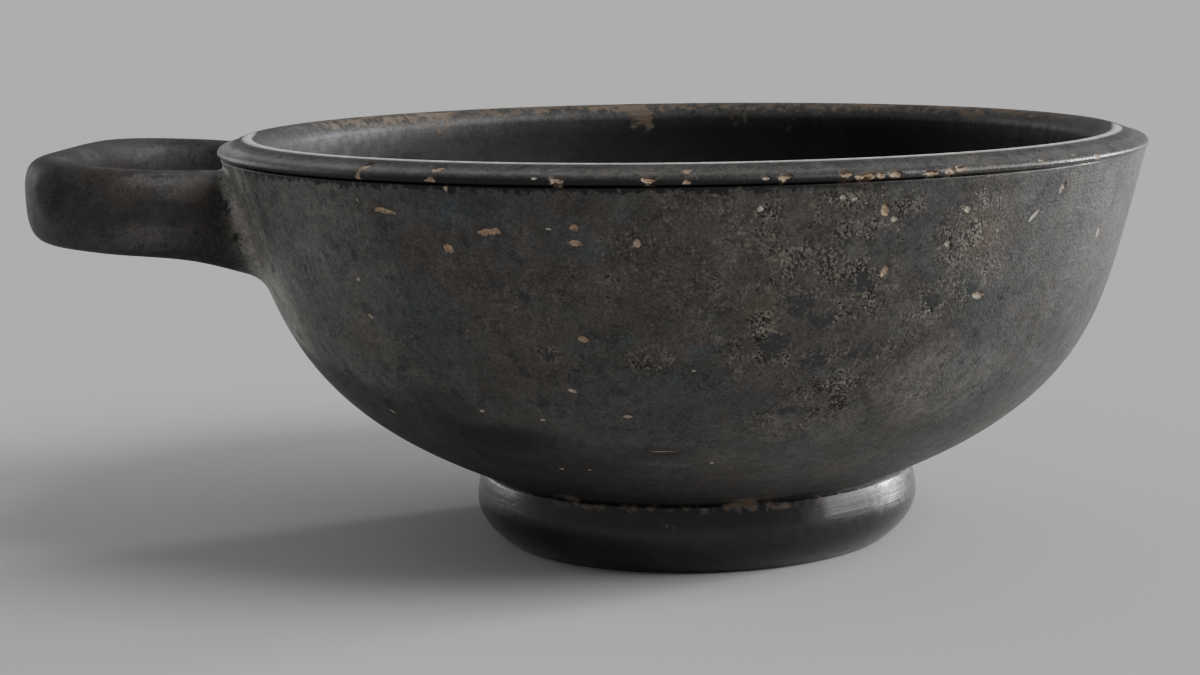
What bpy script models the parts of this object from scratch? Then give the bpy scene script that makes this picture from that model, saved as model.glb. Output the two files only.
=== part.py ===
"""A one-handled bowl of turned and fired clay with a black gloss, at its real size in metres.

The bowl stands on its ring foot at z = 0. Its loop handle points to -X, and the origin is the
bottom centre of its bounding box.
"""
import math

import bmesh
import bpy
from mathutils import Matrix, Vector

# Whole bowl
HEIGHT = 0.0534             # resting face of the foot to the crest of the lip
RIM_RADIUS = 0.0600         # outer edge of the lip
WALL = 0.0043               # thickness of the wall
FLOOR = 0.0050              # thickness of the clay in the middle, over the recess of the foot

# The bowl settled a little while its clay was wet
RIM_SHIFT = 0.0012          # the rim's centre stands this far from the foot's, towards the handle
RIM_RISE = 0.0015           # the rim is this much higher at the handle than across from it

# Lip
LIP_CREST = 0.0039          # from the outer edge in to the crest
LIP_INNER = 0.0028          # from the crest in to the inner edge
LIP_DROP = 0.0009           # from the crest down to the rounding of the outer edge
LIP_EDGE = 0.0009           # height of that rounding
LIP_ROUND = 0.0012          # width of that rounding
LIP_INSIDE = 0.0024         # from the crest down to where the inside face begins
LIP_DEPTH = 0.0120          # the wall takes its even thickness this far below the crest
GROOVE_WIDTH = 0.00055      # fine groove under the lip's outer edge
GROOVE_DEPTH = 0.00035

# Outer curve of the wall, from the neck over the foot up to the groove under the lip
NECK_RADIUS = 0.0282
NECK_ANGLE = math.radians(23.0)     # the wall's rise over the level as it leaves the neck
NECK_PULL = 0.80                    # it keeps to that direction over this share of its way out
FLARE_ANGLE = math.radians(16.0)    # the wall's lean outwards from the upright under the lip
FLARE_PULL = 0.475                  # it keeps to that lean over this share of its way up

# Foot
FOOT_HEIGHT = 0.0094        # resting face to the neck
FOOT_RADIUS = 0.0292        # widest part of its bulging side
FOOT_BULGE_HEIGHT = 0.0054  # the widest part is this high
FOOT_TOP_RADIUS = 0.0287    # upper edge, a small step out from the neck
FOOT_TOP_STEP = 0.0004      # the neck's step down to that edge
FOOT_REST_OUTER = 0.0256    # outer edge of the resting face
FOOT_REST_WIDTH = 0.0056    # width of the resting face
FOOT_UNDER_ANGLE = math.radians(34.0)   # the side's rise over the level at the resting face
FOOT_UNDER_PULL = 0.30                  # it keeps to that over this share of the bulge's height
FOOT_BULGE_PULL = 0.50                  # the bulge stays upright over this share of its height
RECESS = 0.0045             # depth of the recess under the foot
RECESS_TAPER = 0.0010       # the recess is this much narrower at its roof

# Handle
HANDLE_REACH = 0.0238       # from the rim's edge out to the far side of the loop
HANDLE_SPREAD = 0.0516      # between the middles of its two arms where they stand widest
HANDLE_ROOT_SPREAD = 0.0246  # between the middles of the arms' ends in the wall
HANDLE_HEIGHT = 0.0104      # the arm's section, upright
HANDLE_THICKNESS = 0.0069   # the arm's section, across
HANDLE_ROOT_DROP = 0.0032   # the arms' upper side is this far below the crest where they meet the wall
HANDLE_ARCH_DROP = 0.0024   # the middle of the arms' upper side bends towards this far below the crest
HANDLE_TIP_DROP = 0.0015    # the upper side of the loop's far end is this far below the crest
HANDLE_ROOT_GROWTH = 0.33   # how much taller and thicker the arms are where they meet the wall
HANDLE_ROOT_LENGTH = 0.0105  # the arms swell over this length
HANDLE_SQUARENESS = 4.5     # 2 is a round loop, and more is a loop with squarer corners
SECTION_SQUARENESS = 3.0    # the same for the arm's section

# Fineness
TURN_STEPS = 72
WALL_STEPS = 12
FLOOR_STEPS = 4
LIP_STEPS = 4
EDGE_STEPS = 2
FOOT_STEPS = 4
RECESS_ROOF_STEPS = 2
HANDLE_STEPS = 34
HANDLE_PLAN_STEPS = 400     # the handle's outline is walked this finely to space its steps evenly
SECTION_STEPS = 20
PLAIN_PULL = 1 / 3          # a plain curve keeps to its end directions over this share of its span
MERGE = 0.00001
SHARP_ANGLE = math.radians(40.0)

GLOSS_COLOUR = (0.020, 0.018, 0.017, 1.0)
GLOSS_ROUGHNESS = 0.36


def bezier(start, leaving, arriving, end, steps):
    """The points of a cubic curve after its start, as (radius, height) pairs."""
    points = []
    for step in range(1, steps + 1):
        t = step / steps
        u = 1 - t
        weights = (u ** 3, 3 * u * u * t, 3 * u * t * t, t ** 3)
        corners = (start, leaving, arriving, end)
        points.append(tuple(sum(w * c[axis] for w, c in zip(weights, corners)) for axis in range(2)))
    return points


def quarter(start, end, level_first, steps):
    """The points of a quarter of an ellipse after its start. It starts level, or else upright."""
    centre = (start[0], end[1]) if level_first else (end[0], start[1])
    points = []
    for step in range(1, steps + 1):
        angle = math.pi / 2 * step / steps
        near, far = math.cos(angle), math.sin(angle)
        points.append(tuple(
            centre[axis] + (start[axis] - centre[axis]) * near + (end[axis] - centre[axis]) * far
            for axis in range(2)
        ))
    return points


def wall_curve():
    """The wall's outer side from the neck up to the groove under the lip."""
    neck = (NECK_RADIUS, FOOT_HEIGHT)
    top = (RIM_RADIUS - GROOVE_DEPTH, HEIGHT - LIP_DROP - LIP_EDGE - GROOVE_WIDTH)
    out = NECK_PULL * (top[0] - neck[0])
    down = FLARE_PULL * (top[1] - neck[1])
    leaving = (neck[0] + out, neck[1] + out * math.tan(NECK_ANGLE))
    arriving = (top[0] - down * math.tan(FLARE_ANGLE), top[1] - down)
    return [neck] + bezier(neck, leaving, arriving, top, WALL_STEPS)


def moved_in(curve, distance):
    """A curve that runs at an even distance inside the given one, which runs upwards."""
    points = []
    for index, (radius, height) in enumerate(curve):
        before = curve[max(index - 1, 0)]
        after = curve[min(index + 1, len(curve) - 1)]
        along = Vector((after[0] - before[0], after[1] - before[1])).normalized()
        points.append((radius - along.y * distance, height + along.x * distance))
    return points


def inside_curve():
    """The inside of the bowl from the middle of its floor up to the lip's inner edge."""
    even = [point for point in moved_in(wall_curve(), WALL) if point[1] < HEIGHT - LIP_DEPTH]
    middle = Vector((0.0, RECESS + FLOOR))
    first = Vector(even[0])
    last = Vector(even[-1])
    edge = Vector((RIM_RADIUS - LIP_CREST - LIP_INNER, HEIGHT - LIP_INSIDE))
    lower_rise = (Vector(even[1]) - first).normalized()
    upper_rise = (last - Vector(even[-2])).normalized()
    pull = first.x * PLAIN_PULL
    floor = bezier(middle, middle + Vector((pull, 0.0)), first - lower_rise * pull, first, FLOOR_STEPS)
    pull = (edge.y - last.y) * PLAIN_PULL
    throat = bezier(last, last + upper_rise * pull, edge - Vector((0.0, pull)), edge, LIP_STEPS)
    return [tuple(middle)] + floor + even[1:] + throat


def lip_curve(inner_edge):
    """The lip from its inner edge over the crest and the outer edge to the bottom of the groove."""
    crest = (RIM_RADIUS - LIP_CREST, HEIGHT)
    shoulder = (RIM_RADIUS - LIP_ROUND, HEIGHT - LIP_DROP)
    edge = (RIM_RADIUS, shoulder[1] - LIP_EDGE)
    groove = (RIM_RADIUS - 2 * GROOVE_DEPTH, edge[1] - GROOVE_WIDTH / 2)
    inner = quarter(inner_edge, crest, False, LIP_STEPS)
    run = (shoulder[0] - crest[0]) * PLAIN_PULL
    fall = LIP_DROP * PLAIN_PULL
    arriving = (shoulder[0] - run, shoulder[1] + fall)
    top = bezier(crest, (crest[0] + run, crest[1]), arriving, shoulder, LIP_STEPS)
    return inner + top + quarter(shoulder, edge, True, EDGE_STEPS) + [groove]


def foot_curve():
    """The foot from its upper edge down its side, over the resting face and into the recess."""
    top = (FOOT_TOP_RADIUS, FOOT_HEIGHT - FOOT_TOP_STEP)
    widest = (FOOT_RADIUS, FOOT_BULGE_HEIGHT)
    rest = (FOOT_REST_OUTER, 0.0)
    upper = (top[1] - widest[1]) * PLAIN_PULL
    side = bezier(top, (top[0], top[1] - upper), (widest[0], widest[1] + upper), widest, FOOT_STEPS)
    leaving = (widest[0], widest[1] * (1 - FOOT_BULGE_PULL))
    pull = widest[1] * FOOT_UNDER_PULL
    arriving = (rest[0] + pull * math.cos(FOOT_UNDER_ANGLE), pull * math.sin(FOOT_UNDER_ANGLE))
    under = bezier(widest, leaving, arriving, rest, FOOT_STEPS)
    rest_inner = (FOOT_REST_OUTER - FOOT_REST_WIDTH, 0.0)
    roof = rest_inner[0] - RECESS_TAPER
    steps = range(RECESS_ROOF_STEPS + 1)
    recess = [(roof * (1 - step / RECESS_ROOF_STEPS), RECESS) for step in steps]
    return [top] + side + under + [rest_inner] + recess


def turned(name, profile, collection):
    """A solid turned about the Z axis from a profile that runs down its outer side."""
    mesh = bpy.data.meshes.new(name)
    mesh.from_pydata([(radius, 0.0, height) for radius, height in profile],
                     [(index, index + 1) for index in range(len(profile) - 1)], [])
    solid = bpy.data.objects.new(name, mesh)
    collection.objects.link(solid)
    screw = solid.modifiers.new("Turn", 'SCREW')
    screw.axis = 'Z'
    screw.steps = TURN_STEPS
    screw.render_steps = TURN_STEPS
    screw.use_merge_vertices = True
    screw.merge_threshold = MERGE
    return solid


def made_mesh(source, name, collection):
    """A mesh object of what the modifiers or the curve of the source give, in the source's place."""
    evaluated = source.evaluated_get(bpy.context.evaluated_depsgraph_get())
    mesh = bpy.data.meshes.new_from_object(evaluated)
    welded = bmesh.new()
    welded.from_mesh(mesh)
    bmesh.ops.remove_doubles(welded, verts=welded.verts, dist=MERGE)
    welded.to_mesh(mesh)
    welded.free()
    made = bpy.data.objects.new(name, mesh)
    made.matrix_world = source.matrix_world
    collection.objects.link(made)
    bpy.data.objects.remove(source)
    return made


def mark_cutter(cutter):
    """Shows a solid that only cuts or joins as an outline, and keeps it out of renders."""
    cutter.hide_render = True
    cutter.display_type = 'WIRE'


def superellipse(angle, width, depth, squareness):
    """A point of a round-cornered loop, across and along."""
    across, along = math.sin(angle), math.cos(angle)
    power = 2 / squareness
    return (math.copysign(abs(across) ** power, across) * width,
            math.copysign(abs(along) ** power, along) * depth)


def handle_outline():
    """The handle's middle line from one root to the other, finely stepped, as (out, across) points."""
    tip = RIM_RADIUS + HANDLE_REACH - HANDLE_THICKNESS / 2
    outermost = max(HANDLE_SPREAD, HANDLE_ROOT_SPREAD) / 2 + HANDLE_THICKNESS
    root = math.sqrt(RIM_RADIUS ** 2 - outermost ** 2) - HANDLE_THICKNESS
    widest = (tip + RIM_RADIUS) / 2
    waist = (HANDLE_SPREAD - HANDLE_ROOT_SPREAD) / 2
    outline = []
    for step in range(HANDLE_PLAN_STEPS + 1):
        angle = math.pi * step / HANDLE_PLAN_STEPS - math.pi / 2
        across, out = superellipse(angle, HANDLE_SPREAD / 2, tip - root, HANDLE_SQUARENESS)
        out += root
        bend = max(widest - out, 0.0) / (widest - root)
        across -= math.copysign(waist * bend ** 2 * (3 - 2 * bend), across)
        outline.append(Vector((out, across)))
    return outline


def handle_plan():
    """Evenly spaced points of the handle's middle line, each with its distance from the nearer root."""
    outline = handle_outline()
    walked = [0.0]
    for before, after in zip(outline, outline[1:]):
        walked.append(walked[-1] + (after - before).length)
    points = []
    index = 0
    for step in range(HANDLE_STEPS + 1):
        target = walked[-1] * step / HANDLE_STEPS
        while index < len(outline) - 2 and walked[index + 1] < target:
            index += 1
        share = (target - walked[index]) / (walked[index + 1] - walked[index])
        place = outline[index].lerp(outline[index + 1], share)
        points.append((place, min(target, walked[-1] - target)))
    return points


def handle_drop(out):
    """How far the arms' upper side is below the lip's crest at a distance from the axis."""
    share = (out - RIM_RADIUS) / HANDLE_REACH
    back = 1 - share
    return back ** 2 * HANDLE_ROOT_DROP + 2 * share * back * HANDLE_ARCH_DROP + share ** 2 * HANDLE_TIP_DROP


def handle_section(collection):
    """The outline of the arm's section, which the handle's curve carries along."""
    curve = bpy.data.curves.new("handle_section", 'CURVE')
    curve.dimensions = '2D'
    spline = curve.splines.new('POLY')
    spline.points.add(SECTION_STEPS - 1)
    for index, point in enumerate(spline.points):
        angle = 2 * math.pi * index / SECTION_STEPS
        across, up = superellipse(angle, HANDLE_THICKNESS / 2, HANDLE_HEIGHT / 2, SECTION_SQUARENESS)
        point.co = (across, up, 0.0, 1.0)
    spline.use_cyclic_u = True
    section = bpy.data.objects.new("handle_section", curve)
    collection.objects.link(section)
    mark_cutter(section)
    return section


def handle_loop(collection):
    """The handle's loop, with arms that swell and run on into the wall."""
    section = handle_section(collection)
    curve = bpy.data.curves.new("handle_loop", 'CURVE')
    curve.dimensions = '3D'
    curve.twist_mode = 'Z_UP'
    curve.bevel_mode = 'OBJECT'
    curve.bevel_object = section
    curve.use_fill_caps = True
    plan = handle_plan()
    spline = curve.splines.new('POLY')
    spline.points.add(len(plan) - 1)
    for point, (place, from_root) in zip(spline.points, plan):
        free = max(from_root - HANDLE_THICKNESS, 0.0) / HANDLE_ROOT_LENGTH
        swell = 1 + HANDLE_ROOT_GROWTH * math.exp(-free ** 2)
        top = HEIGHT - handle_drop(place.x)
        point.co = (-place.x, place.y, top - swell * HANDLE_HEIGHT / 2, 1.0)
        point.radius = swell
    loop = bpy.data.objects.new("handle_loop", curve)
    collection.objects.link(loop)
    made = made_mesh(loop, "handle_solid", collection)
    bpy.data.objects.remove(section)
    mark_cutter(made)
    return made


def wall_core(collection):
    """A solid with the hollow's shape, grown to the middle of the wall, that trims the handle's ends."""
    middle = moved_in(wall_curve(), WALL / 2)
    above = HEIGHT + HANDLE_HEIGHT
    profile = [(0.0, above), (middle[-1][0], above)] + middle[::-1] + [(0.0, middle[0][1])]
    core = turned("wall_core", profile, collection)
    mark_cutter(core)
    return core


def apply_boolean(target, operation, cutter):
    """Cuts or joins the target with the cutter for good."""
    boolean = target.modifiers.new(operation.title(), 'BOOLEAN')
    boolean.operation = operation
    boolean.object = cutter
    boolean.solver = 'EXACT'
    evaluated = target.evaluated_get(bpy.context.evaluated_depsgraph_get())
    mesh = bpy.data.meshes.new_from_object(evaluated)
    target.modifiers.clear()
    target.data = mesh


def settle(mesh):
    """Leans the body over its foot, and puts the bottom centre of its box at the origin."""
    for vertex in mesh.vertices:
        share = max(vertex.co.z - FOOT_HEIGHT, 0.0) / (HEIGHT - FOOT_HEIGHT)
        vertex.co.z -= share * RIM_RISE / 2 * vertex.co.x / RIM_RADIUS
        vertex.co.x -= share * RIM_SHIFT
    reach = [vertex.co.x for vertex in mesh.vertices]
    mesh.transform(Matrix.Translation((-(min(reach) + max(reach)) / 2, 0.0, 0.0)))


def gloss_material():
    """The black gloss of the fired clay."""
    material = bpy.data.materials.new("black_gloss")
    material.use_nodes = True
    shader = material.node_tree.nodes["Principled BSDF"]
    shader.inputs["Base Color"].default_value = GLOSS_COLOUR
    shader.inputs["Roughness"].default_value = GLOSS_ROUGHNESS
    shader.inputs["Metallic"].default_value = 0.0
    material.diffuse_color = GLOSS_COLOUR
    return material


def make_bowl(collection, cutters):
    """The whole bowl as one solid: the turned body with the handle joined to it."""
    inside = inside_curve()
    outside = wall_curve()[::-1]
    profile = inside + lip_curve(inside[-1]) + outside + foot_curve()
    bowl = made_mesh(turned("bowl_body", profile, collection), "bowl", collection)
    handle = handle_loop(cutters)
    apply_boolean(handle, 'DIFFERENCE', wall_core(cutters))
    apply_boolean(bowl, 'UNION', handle)
    settle(bowl.data)
    bowl.data.shade_smooth()
    bowl.data.set_sharp_from_angle(angle=SHARP_ANGLE)
    bowl.data.materials.clear()
    bowl.data.materials.append(gloss_material())
    return bowl


def main():
    """Clears the scene's objects and models the bowl."""
    for old in list(bpy.data.objects):
        bpy.data.objects.remove(old)
    parts = bpy.data.collections.new("one_handled_bowl")
    cutters = bpy.data.collections.new("cutters")
    for collection in (parts, cutters):
        bpy.context.scene.collection.children.link(collection)
    make_bowl(parts, cutters)


main()
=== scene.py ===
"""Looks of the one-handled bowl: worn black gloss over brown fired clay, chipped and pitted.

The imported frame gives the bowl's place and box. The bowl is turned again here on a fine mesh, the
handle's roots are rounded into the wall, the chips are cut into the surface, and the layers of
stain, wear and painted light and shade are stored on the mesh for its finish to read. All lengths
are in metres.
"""

import logging
import math
import random
from dataclasses import dataclass, field
from enum import Enum
from typing import Iterable, Mapping, Sequence, Union

import bmesh
import bpy
import numpy as np
from mathutils import Matrix, Vector, noise
from mathutils.bvhtree import BVHTree


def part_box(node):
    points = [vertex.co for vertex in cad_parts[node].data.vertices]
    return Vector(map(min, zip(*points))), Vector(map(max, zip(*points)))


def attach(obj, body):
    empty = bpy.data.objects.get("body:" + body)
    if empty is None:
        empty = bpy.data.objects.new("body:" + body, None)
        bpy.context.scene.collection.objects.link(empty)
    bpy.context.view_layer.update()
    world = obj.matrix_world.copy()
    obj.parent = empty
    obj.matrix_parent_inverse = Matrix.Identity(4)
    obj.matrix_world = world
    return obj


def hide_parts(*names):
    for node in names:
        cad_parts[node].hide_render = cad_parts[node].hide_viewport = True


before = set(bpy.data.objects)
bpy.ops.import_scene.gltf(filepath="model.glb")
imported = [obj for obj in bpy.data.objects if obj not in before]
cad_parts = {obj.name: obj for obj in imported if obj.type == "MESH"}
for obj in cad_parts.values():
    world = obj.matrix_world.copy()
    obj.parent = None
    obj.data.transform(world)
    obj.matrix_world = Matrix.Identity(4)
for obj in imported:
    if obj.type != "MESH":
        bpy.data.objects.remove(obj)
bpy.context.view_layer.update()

LOG = logging.getLogger("bowl")
NODE = "bowl"
BODY = "root"
MM = 0.001
WELD = 0.000002
TOUCHING = 0.00001
LEAST_LEVEL = 0.05
FAR_SHARE = 9.0
FAR_WAY = 99.0

Socket = bpy.types.NodeSocket
Feed = Union[Socket, float, Sequence[float], None]
Colour = tuple[float, float, float, float]
Span = tuple[float, float]


class Layer(Enum):
    """The layers of stain and wear, and of painted light and shade, that the mesh carries as attributes."""

    CHIP = "way_into_chip"
    RISE = "height_in_chip"
    PALE = "pale_crust"
    FLAKED = "flaked"
    BROWN = "brown_stain"
    BLUE = "blue_film"
    # Grey film, and painted sheen and highlights on the flanks, the handle and the inside
    FILM_AND_SHEEN = "grey_film"
    # Dark patches of held gloss, and painted shade on the handle
    DARK = "dark_patch"
    # Whole black gloss, and painted shade on the handle's end and near arm
    GLOSS_AND_SHADE = "intact_gloss"
    WORN = "worn_edge"
    # Way from the crest, which places the painted crest highlight
    CREST = "way_from_crest"
    DROP = "drop_below_crest"
    # The painted shade under the lip
    LIP_SHADE = "groove_black"


class Joining(Enum):
    """How a Boolean puts two solids together."""

    CUT = 'DIFFERENCE'
    JOIN = 'UNION'


@dataclass(frozen=True)
class PhotoCamera:
    """The photograph's camera, worked out from the bowl's outlines.

    The angles are in degrees. The picture's size and its focal length are in pixels.
    """

    place: tuple[float, float, float] = (0.02289, -0.31184, 0.07425)
    down: float = 8.82
    right: float = -4.08
    roll: float = -1.60
    focal: float = 2376.0
    width: int = 1200
    height: int = 675
    sensor: float = 36.0
    nearest: float = 0.01

    def matrix(self) -> Matrix:
        """The camera's place and turn.

        Returns:
            Its matrix in the world.
        """
        turn = Matrix.Rotation(math.radians(-self.right), 4, 'Z')
        turn @= Matrix.Rotation(math.radians(90.0 - self.down), 4, 'X')
        turn @= Matrix.Rotation(math.radians(self.roll), 4, 'Z')
        return Matrix.Translation(self.place) @ turn

    def ray(self, x: float, y: float) -> tuple[Vector, Vector]:
        """The line of sight through a pixel of the photograph.

        Args:
            x: Pixels from the picture's left edge.
            y: Pixels from its top edge.

        Returns:
            The camera's place and the direction of the line.
        """
        local = Vector((x - self.width / 2, self.height / 2 - y, -self.focal))
        return Vector(self.place), (self.matrix().to_3x3() @ local).normalized()

    def build(self) -> bpy.types.Object:
        """Makes the camera and gives it to the scene.

        Returns:
            The camera's object.
        """
        data = bpy.data.cameras.new("photo_camera")
        data.sensor_width = self.sensor
        data.lens = self.focal * self.sensor / self.width
        data.clip_start = self.nearest
        camera = bpy.data.objects.new("photo_camera", data)
        camera.matrix_world = self.matrix()
        bpy.context.scene.collection.objects.link(camera)
        bpy.context.scene.camera = camera
        return camera


def smooth_step(value: np.ndarray, low: float, high: float) -> np.ndarray:
    """Runs smoothly from 0 at low to 1 at high.

    Args:
        value: The values to read.
        low: Where the result is 0.
        high: Where the result is 1. It may be less than low.

    Returns:
        The result for each value.
    """
    share = np.clip((value - low) / (high - low), 0.0, 1.0)
    return share * share * (3.0 - 2.0 * share)


def bezier(corners: Sequence[Sequence[float]], steps: int = 60) -> np.ndarray:
    """A cubic curve with its start left out.

    Args:
        corners: Its start, its two handles and its end, as (radius, height) pairs.
        steps: How many points it gets.

    Returns:
        The points, one a row.
    """
    t = np.linspace(0.0, 1.0, steps + 1)[1:, None]
    u = 1.0 - t
    start, leaving, arriving, end = (np.array(corner, dtype=float) for corner in corners)
    return u ** 3 * start + 3 * u * u * t * leaving + 3 * u * t * t * arriving + t ** 3 * end


def quarter(start: Sequence[float], end: Sequence[float], level_first: bool, steps: int = 30) -> np.ndarray:
    """A quarter of an ellipse with its start left out.

    Args:
        start: Its first point, as a (radius, height) pair.
        end: Its last point.
        level_first: True if it leaves its start level, False if it leaves it upright.
        steps: How many points it gets.

    Returns:
        The points, one a row.
    """
    begin, finish = np.array(start, dtype=float), np.array(end, dtype=float)
    centre = np.array([begin[0], finish[1]]) if level_first else np.array([finish[0], begin[1]])
    angle = (np.linspace(0.0, math.pi / 2, steps + 1)[1:])[:, None]
    return centre + (begin - centre) * np.cos(angle) + (finish - centre) * np.sin(angle)


@dataclass
class TurnedBody:
    """The turned part of the bowl: floor, wall, lip and ring foot, upright and centred on its axis."""

    height: float = 0.0534
    rim_radius: float = 0.05999
    wall: float = 0.0043
    floor: float = 0.0050
    lip_crest: float = 0.0039
    lip_inner: float = 0.0028
    lip_drop: float = 0.0009
    lip_edge: float = 0.0009
    lip_round: float = 0.0012
    lip_inside: float = 0.0024
    lip_depth: float = 0.0120
    groove_width: float = 0.00055
    groove_depth: float = 0.00035
    groove_cut: float = 0.0008
    groove_floor: float = 0.2
    neck_radius: float = 0.0282
    neck_angle: float = math.radians(23.0)
    neck_pull: float = 0.80
    flare_angle: float = math.radians(16.0)
    flare_pull: float = 0.475
    foot_height: float = 0.0094
    foot_radius: float = 0.0292
    foot_bulge_height: float = 0.0054
    foot_top_radius: float = 0.0287
    foot_top_step: float = 0.0004
    foot_rest_outer: float = 0.0256
    foot_rest_width: float = 0.0056
    foot_under_angle: float = math.radians(34.0)
    foot_under_pull: float = 0.30
    foot_bulge_pull: float = 0.50
    recess: float = 0.0045
    recess_taper: float = 0.0010
    plain_pull: float = 1 / 3
    wall_steps: int = 160
    turn_steps: int = 256
    line_step: float = 0.00008
    rounding: float = 0.00012
    rounding_reach: float = 3.0
    outer_gap: float = 0.0011
    inner_gap: float = 0.0019
    least_gap: float = 0.00016
    ring_turn: float = math.radians(9.0)
    core_stride: int = 8
    core_rise: float = 1.2
    snap_rows: int = 2000
    line: np.ndarray = field(init=False)
    middle: np.ndarray = field(init=False)
    crest_index: int = field(init=False)

    def __post_init__(self) -> None:
        """Works out the fine outline and the middle of the wall once."""
        self.line = self.fine_line()
        self.middle = self.moved_in(self.wall_curve(), self.wall / 2)
        self.crest_index = int(np.argmax(self.line[:, 1]))

    @property
    def edge_height(self) -> float:
        """The height of the lip's outer edge."""
        return self.height - self.lip_drop - self.lip_edge

    @property
    def wall_top(self) -> float:
        """The height where the wall ends, under the groove."""
        return self.edge_height - self.groove_width

    def wall_curve(self) -> np.ndarray:
        """The wall's outer side from the neck up to the groove under the lip.

        Returns:
            Its points as (radius, height) rows.
        """
        neck = np.array([self.neck_radius, self.foot_height])
        top = np.array([self.rim_radius - self.groove_depth, self.wall_top])
        out = self.neck_pull * (top[0] - neck[0])
        down = self.flare_pull * (top[1] - neck[1])
        leaving = neck + np.array([out, out * math.tan(self.neck_angle)])
        arriving = top - np.array([down * math.tan(self.flare_angle), down])
        return np.vstack([neck, bezier((neck, leaving, arriving, top), self.wall_steps)])

    def middle_radius(self, height: Union[float, np.ndarray]) -> Union[float, np.ndarray]:
        """The radius of the middle of the wall at a height."""
        return np.interp(height, self.middle[:, 1], self.middle[:, 0])

    def moved_in(self, curve: np.ndarray, distance: float) -> np.ndarray:
        """A curve at an even distance inside the given one, which runs upwards."""
        along = np.gradient(curve, axis=0)
        along /= np.linalg.norm(along, axis=1, keepdims=True)
        return curve + distance * np.stack([-along[:, 1], along[:, 0]], axis=1)

    def inside_curve(self) -> np.ndarray:
        """The inside from the middle of the floor up to the lip's inner edge.

        Returns:
            Its points as (radius, height) rows.
        """
        even = self.moved_in(self.wall_curve(), self.wall)
        even = even[even[:, 1] < self.height - self.lip_depth]
        middle = np.array([0.0, self.recess + self.floor])
        edge = np.array([self.rim_radius - self.lip_crest - self.lip_inner, self.height - self.lip_inside])
        low_rise = even[1] - even[0]
        low_rise /= np.linalg.norm(low_rise)
        high_rise = even[-1] - even[-2]
        high_rise /= np.linalg.norm(high_rise)
        pull = even[0, 0] * self.plain_pull
        floor = bezier((middle, middle + np.array([pull, 0.0]), even[0] - low_rise * pull, even[0]))
        pull = (edge[1] - even[-1, 1]) * self.plain_pull
        throat = bezier((even[-1], even[-1] + high_rise * pull, edge - np.array([0.0, pull]), edge))
        return np.vstack([middle, floor, even[1:], throat])

    def lip_curve(self, inner_edge: np.ndarray) -> np.ndarray:
        """The lip from its inner edge over the crest and the outer edge into the groove.

        Args:
            inner_edge: Where the inside ends, as (radius, height).

        Returns:
            Its points as (radius, height) rows.
        """
        crest = (self.rim_radius - self.lip_crest, self.height)
        shoulder = (self.rim_radius - self.lip_round, self.height - self.lip_drop)
        edge = (self.rim_radius, self.edge_height)
        bottom = (self.rim_radius - self.groove_depth - self.groove_cut,
                  self.wall_top + self.groove_width * self.groove_floor)
        run = (shoulder[0] - crest[0]) * self.plain_pull
        fall = self.lip_drop * self.plain_pull
        inner = quarter(inner_edge, crest, False)
        top = bezier((crest, (crest[0] + run, crest[1]), (shoulder[0] - run, shoulder[1] + fall), shoulder))
        return np.vstack([inner, top, quarter(shoulder, edge, True), quarter(edge, bottom, False)])

    def foot_curve(self) -> np.ndarray:
        """The foot from its upper edge down its side, over the resting face and into the recess.

        Returns:
            Its points as (radius, height) rows, up to the axis.
        """
        top = (self.foot_top_radius, self.foot_height - self.foot_top_step)
        widest = (self.foot_radius, self.foot_bulge_height)
        rest = (self.foot_rest_outer, 0.0)
        upper = (top[1] - widest[1]) * self.plain_pull
        side = bezier((top, (top[0], top[1] - upper), (widest[0], widest[1] + upper), widest))
        leaving = (widest[0], widest[1] * (1 - self.foot_bulge_pull))
        pull = widest[1] * self.foot_under_pull
        arriving = (rest[0] + pull * math.cos(self.foot_under_angle), pull * math.sin(self.foot_under_angle))
        under = bezier((widest, leaving, arriving, rest))
        rest_inner = self.foot_rest_outer - self.foot_rest_width
        recess = [(rest_inner, 0.0), (rest_inner - self.recess_taper, self.recess), (0.0, self.recess)]
        return np.vstack([top, side, under, recess])

    def fine_line(self) -> np.ndarray:
        """The whole outline, evenly and finely stepped, with its corners a little rounded.

        Returns:
            Its points as (radius, height) rows, from axis to axis.
        """
        inside = self.inside_curve()
        rough = np.vstack([inside, self.lip_curve(inside[-1]), self.wall_curve()[::-1], self.foot_curve()])
        walked = np.concatenate([[0.0], np.cumsum(np.linalg.norm(np.diff(rough, axis=0), axis=1))])
        even = np.arange(0.0, walked[-1], self.line_step)
        line = np.stack([np.interp(even, walked, rough[:, axis]) for axis in range(2)], axis=1)
        reach = int(self.rounding_reach * self.rounding / self.line_step) + 1
        kernel = np.exp(-0.5 * (np.arange(-reach, reach + 1) * self.line_step / self.rounding) ** 2)
        kernel /= kernel.sum()
        padded = np.pad(line, ((reach, reach), (0, 0)), mode='edge')
        line = np.stack([np.convolve(padded[:, axis], kernel, 'valid') for axis in range(2)], axis=1)
        line[[0, -1], 0] = 0.0
        return line

    def rings(self) -> np.ndarray:
        """The points of the fine outline that become rings: closer where it bends.

        Returns:
            Points as (radius, height) rows.
        """
        slope = np.gradient(self.line, axis=0)
        angle = np.unwrap(np.arctan2(slope[:, 1], slope[:, 0]))
        kept = [0]
        for index in range(1, len(self.line) - 1):
            walked = (index - kept[-1]) * self.line_step
            gap = self.outer_gap if index > self.crest_index else self.inner_gap
            turned = abs(angle[index] - angle[kept[-1]])
            if walked >= gap or (walked >= self.least_gap and turned >= self.ring_turn):
                kept.append(index)
        kept.append(len(self.line) - 1)
        return self.line[kept]

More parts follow.
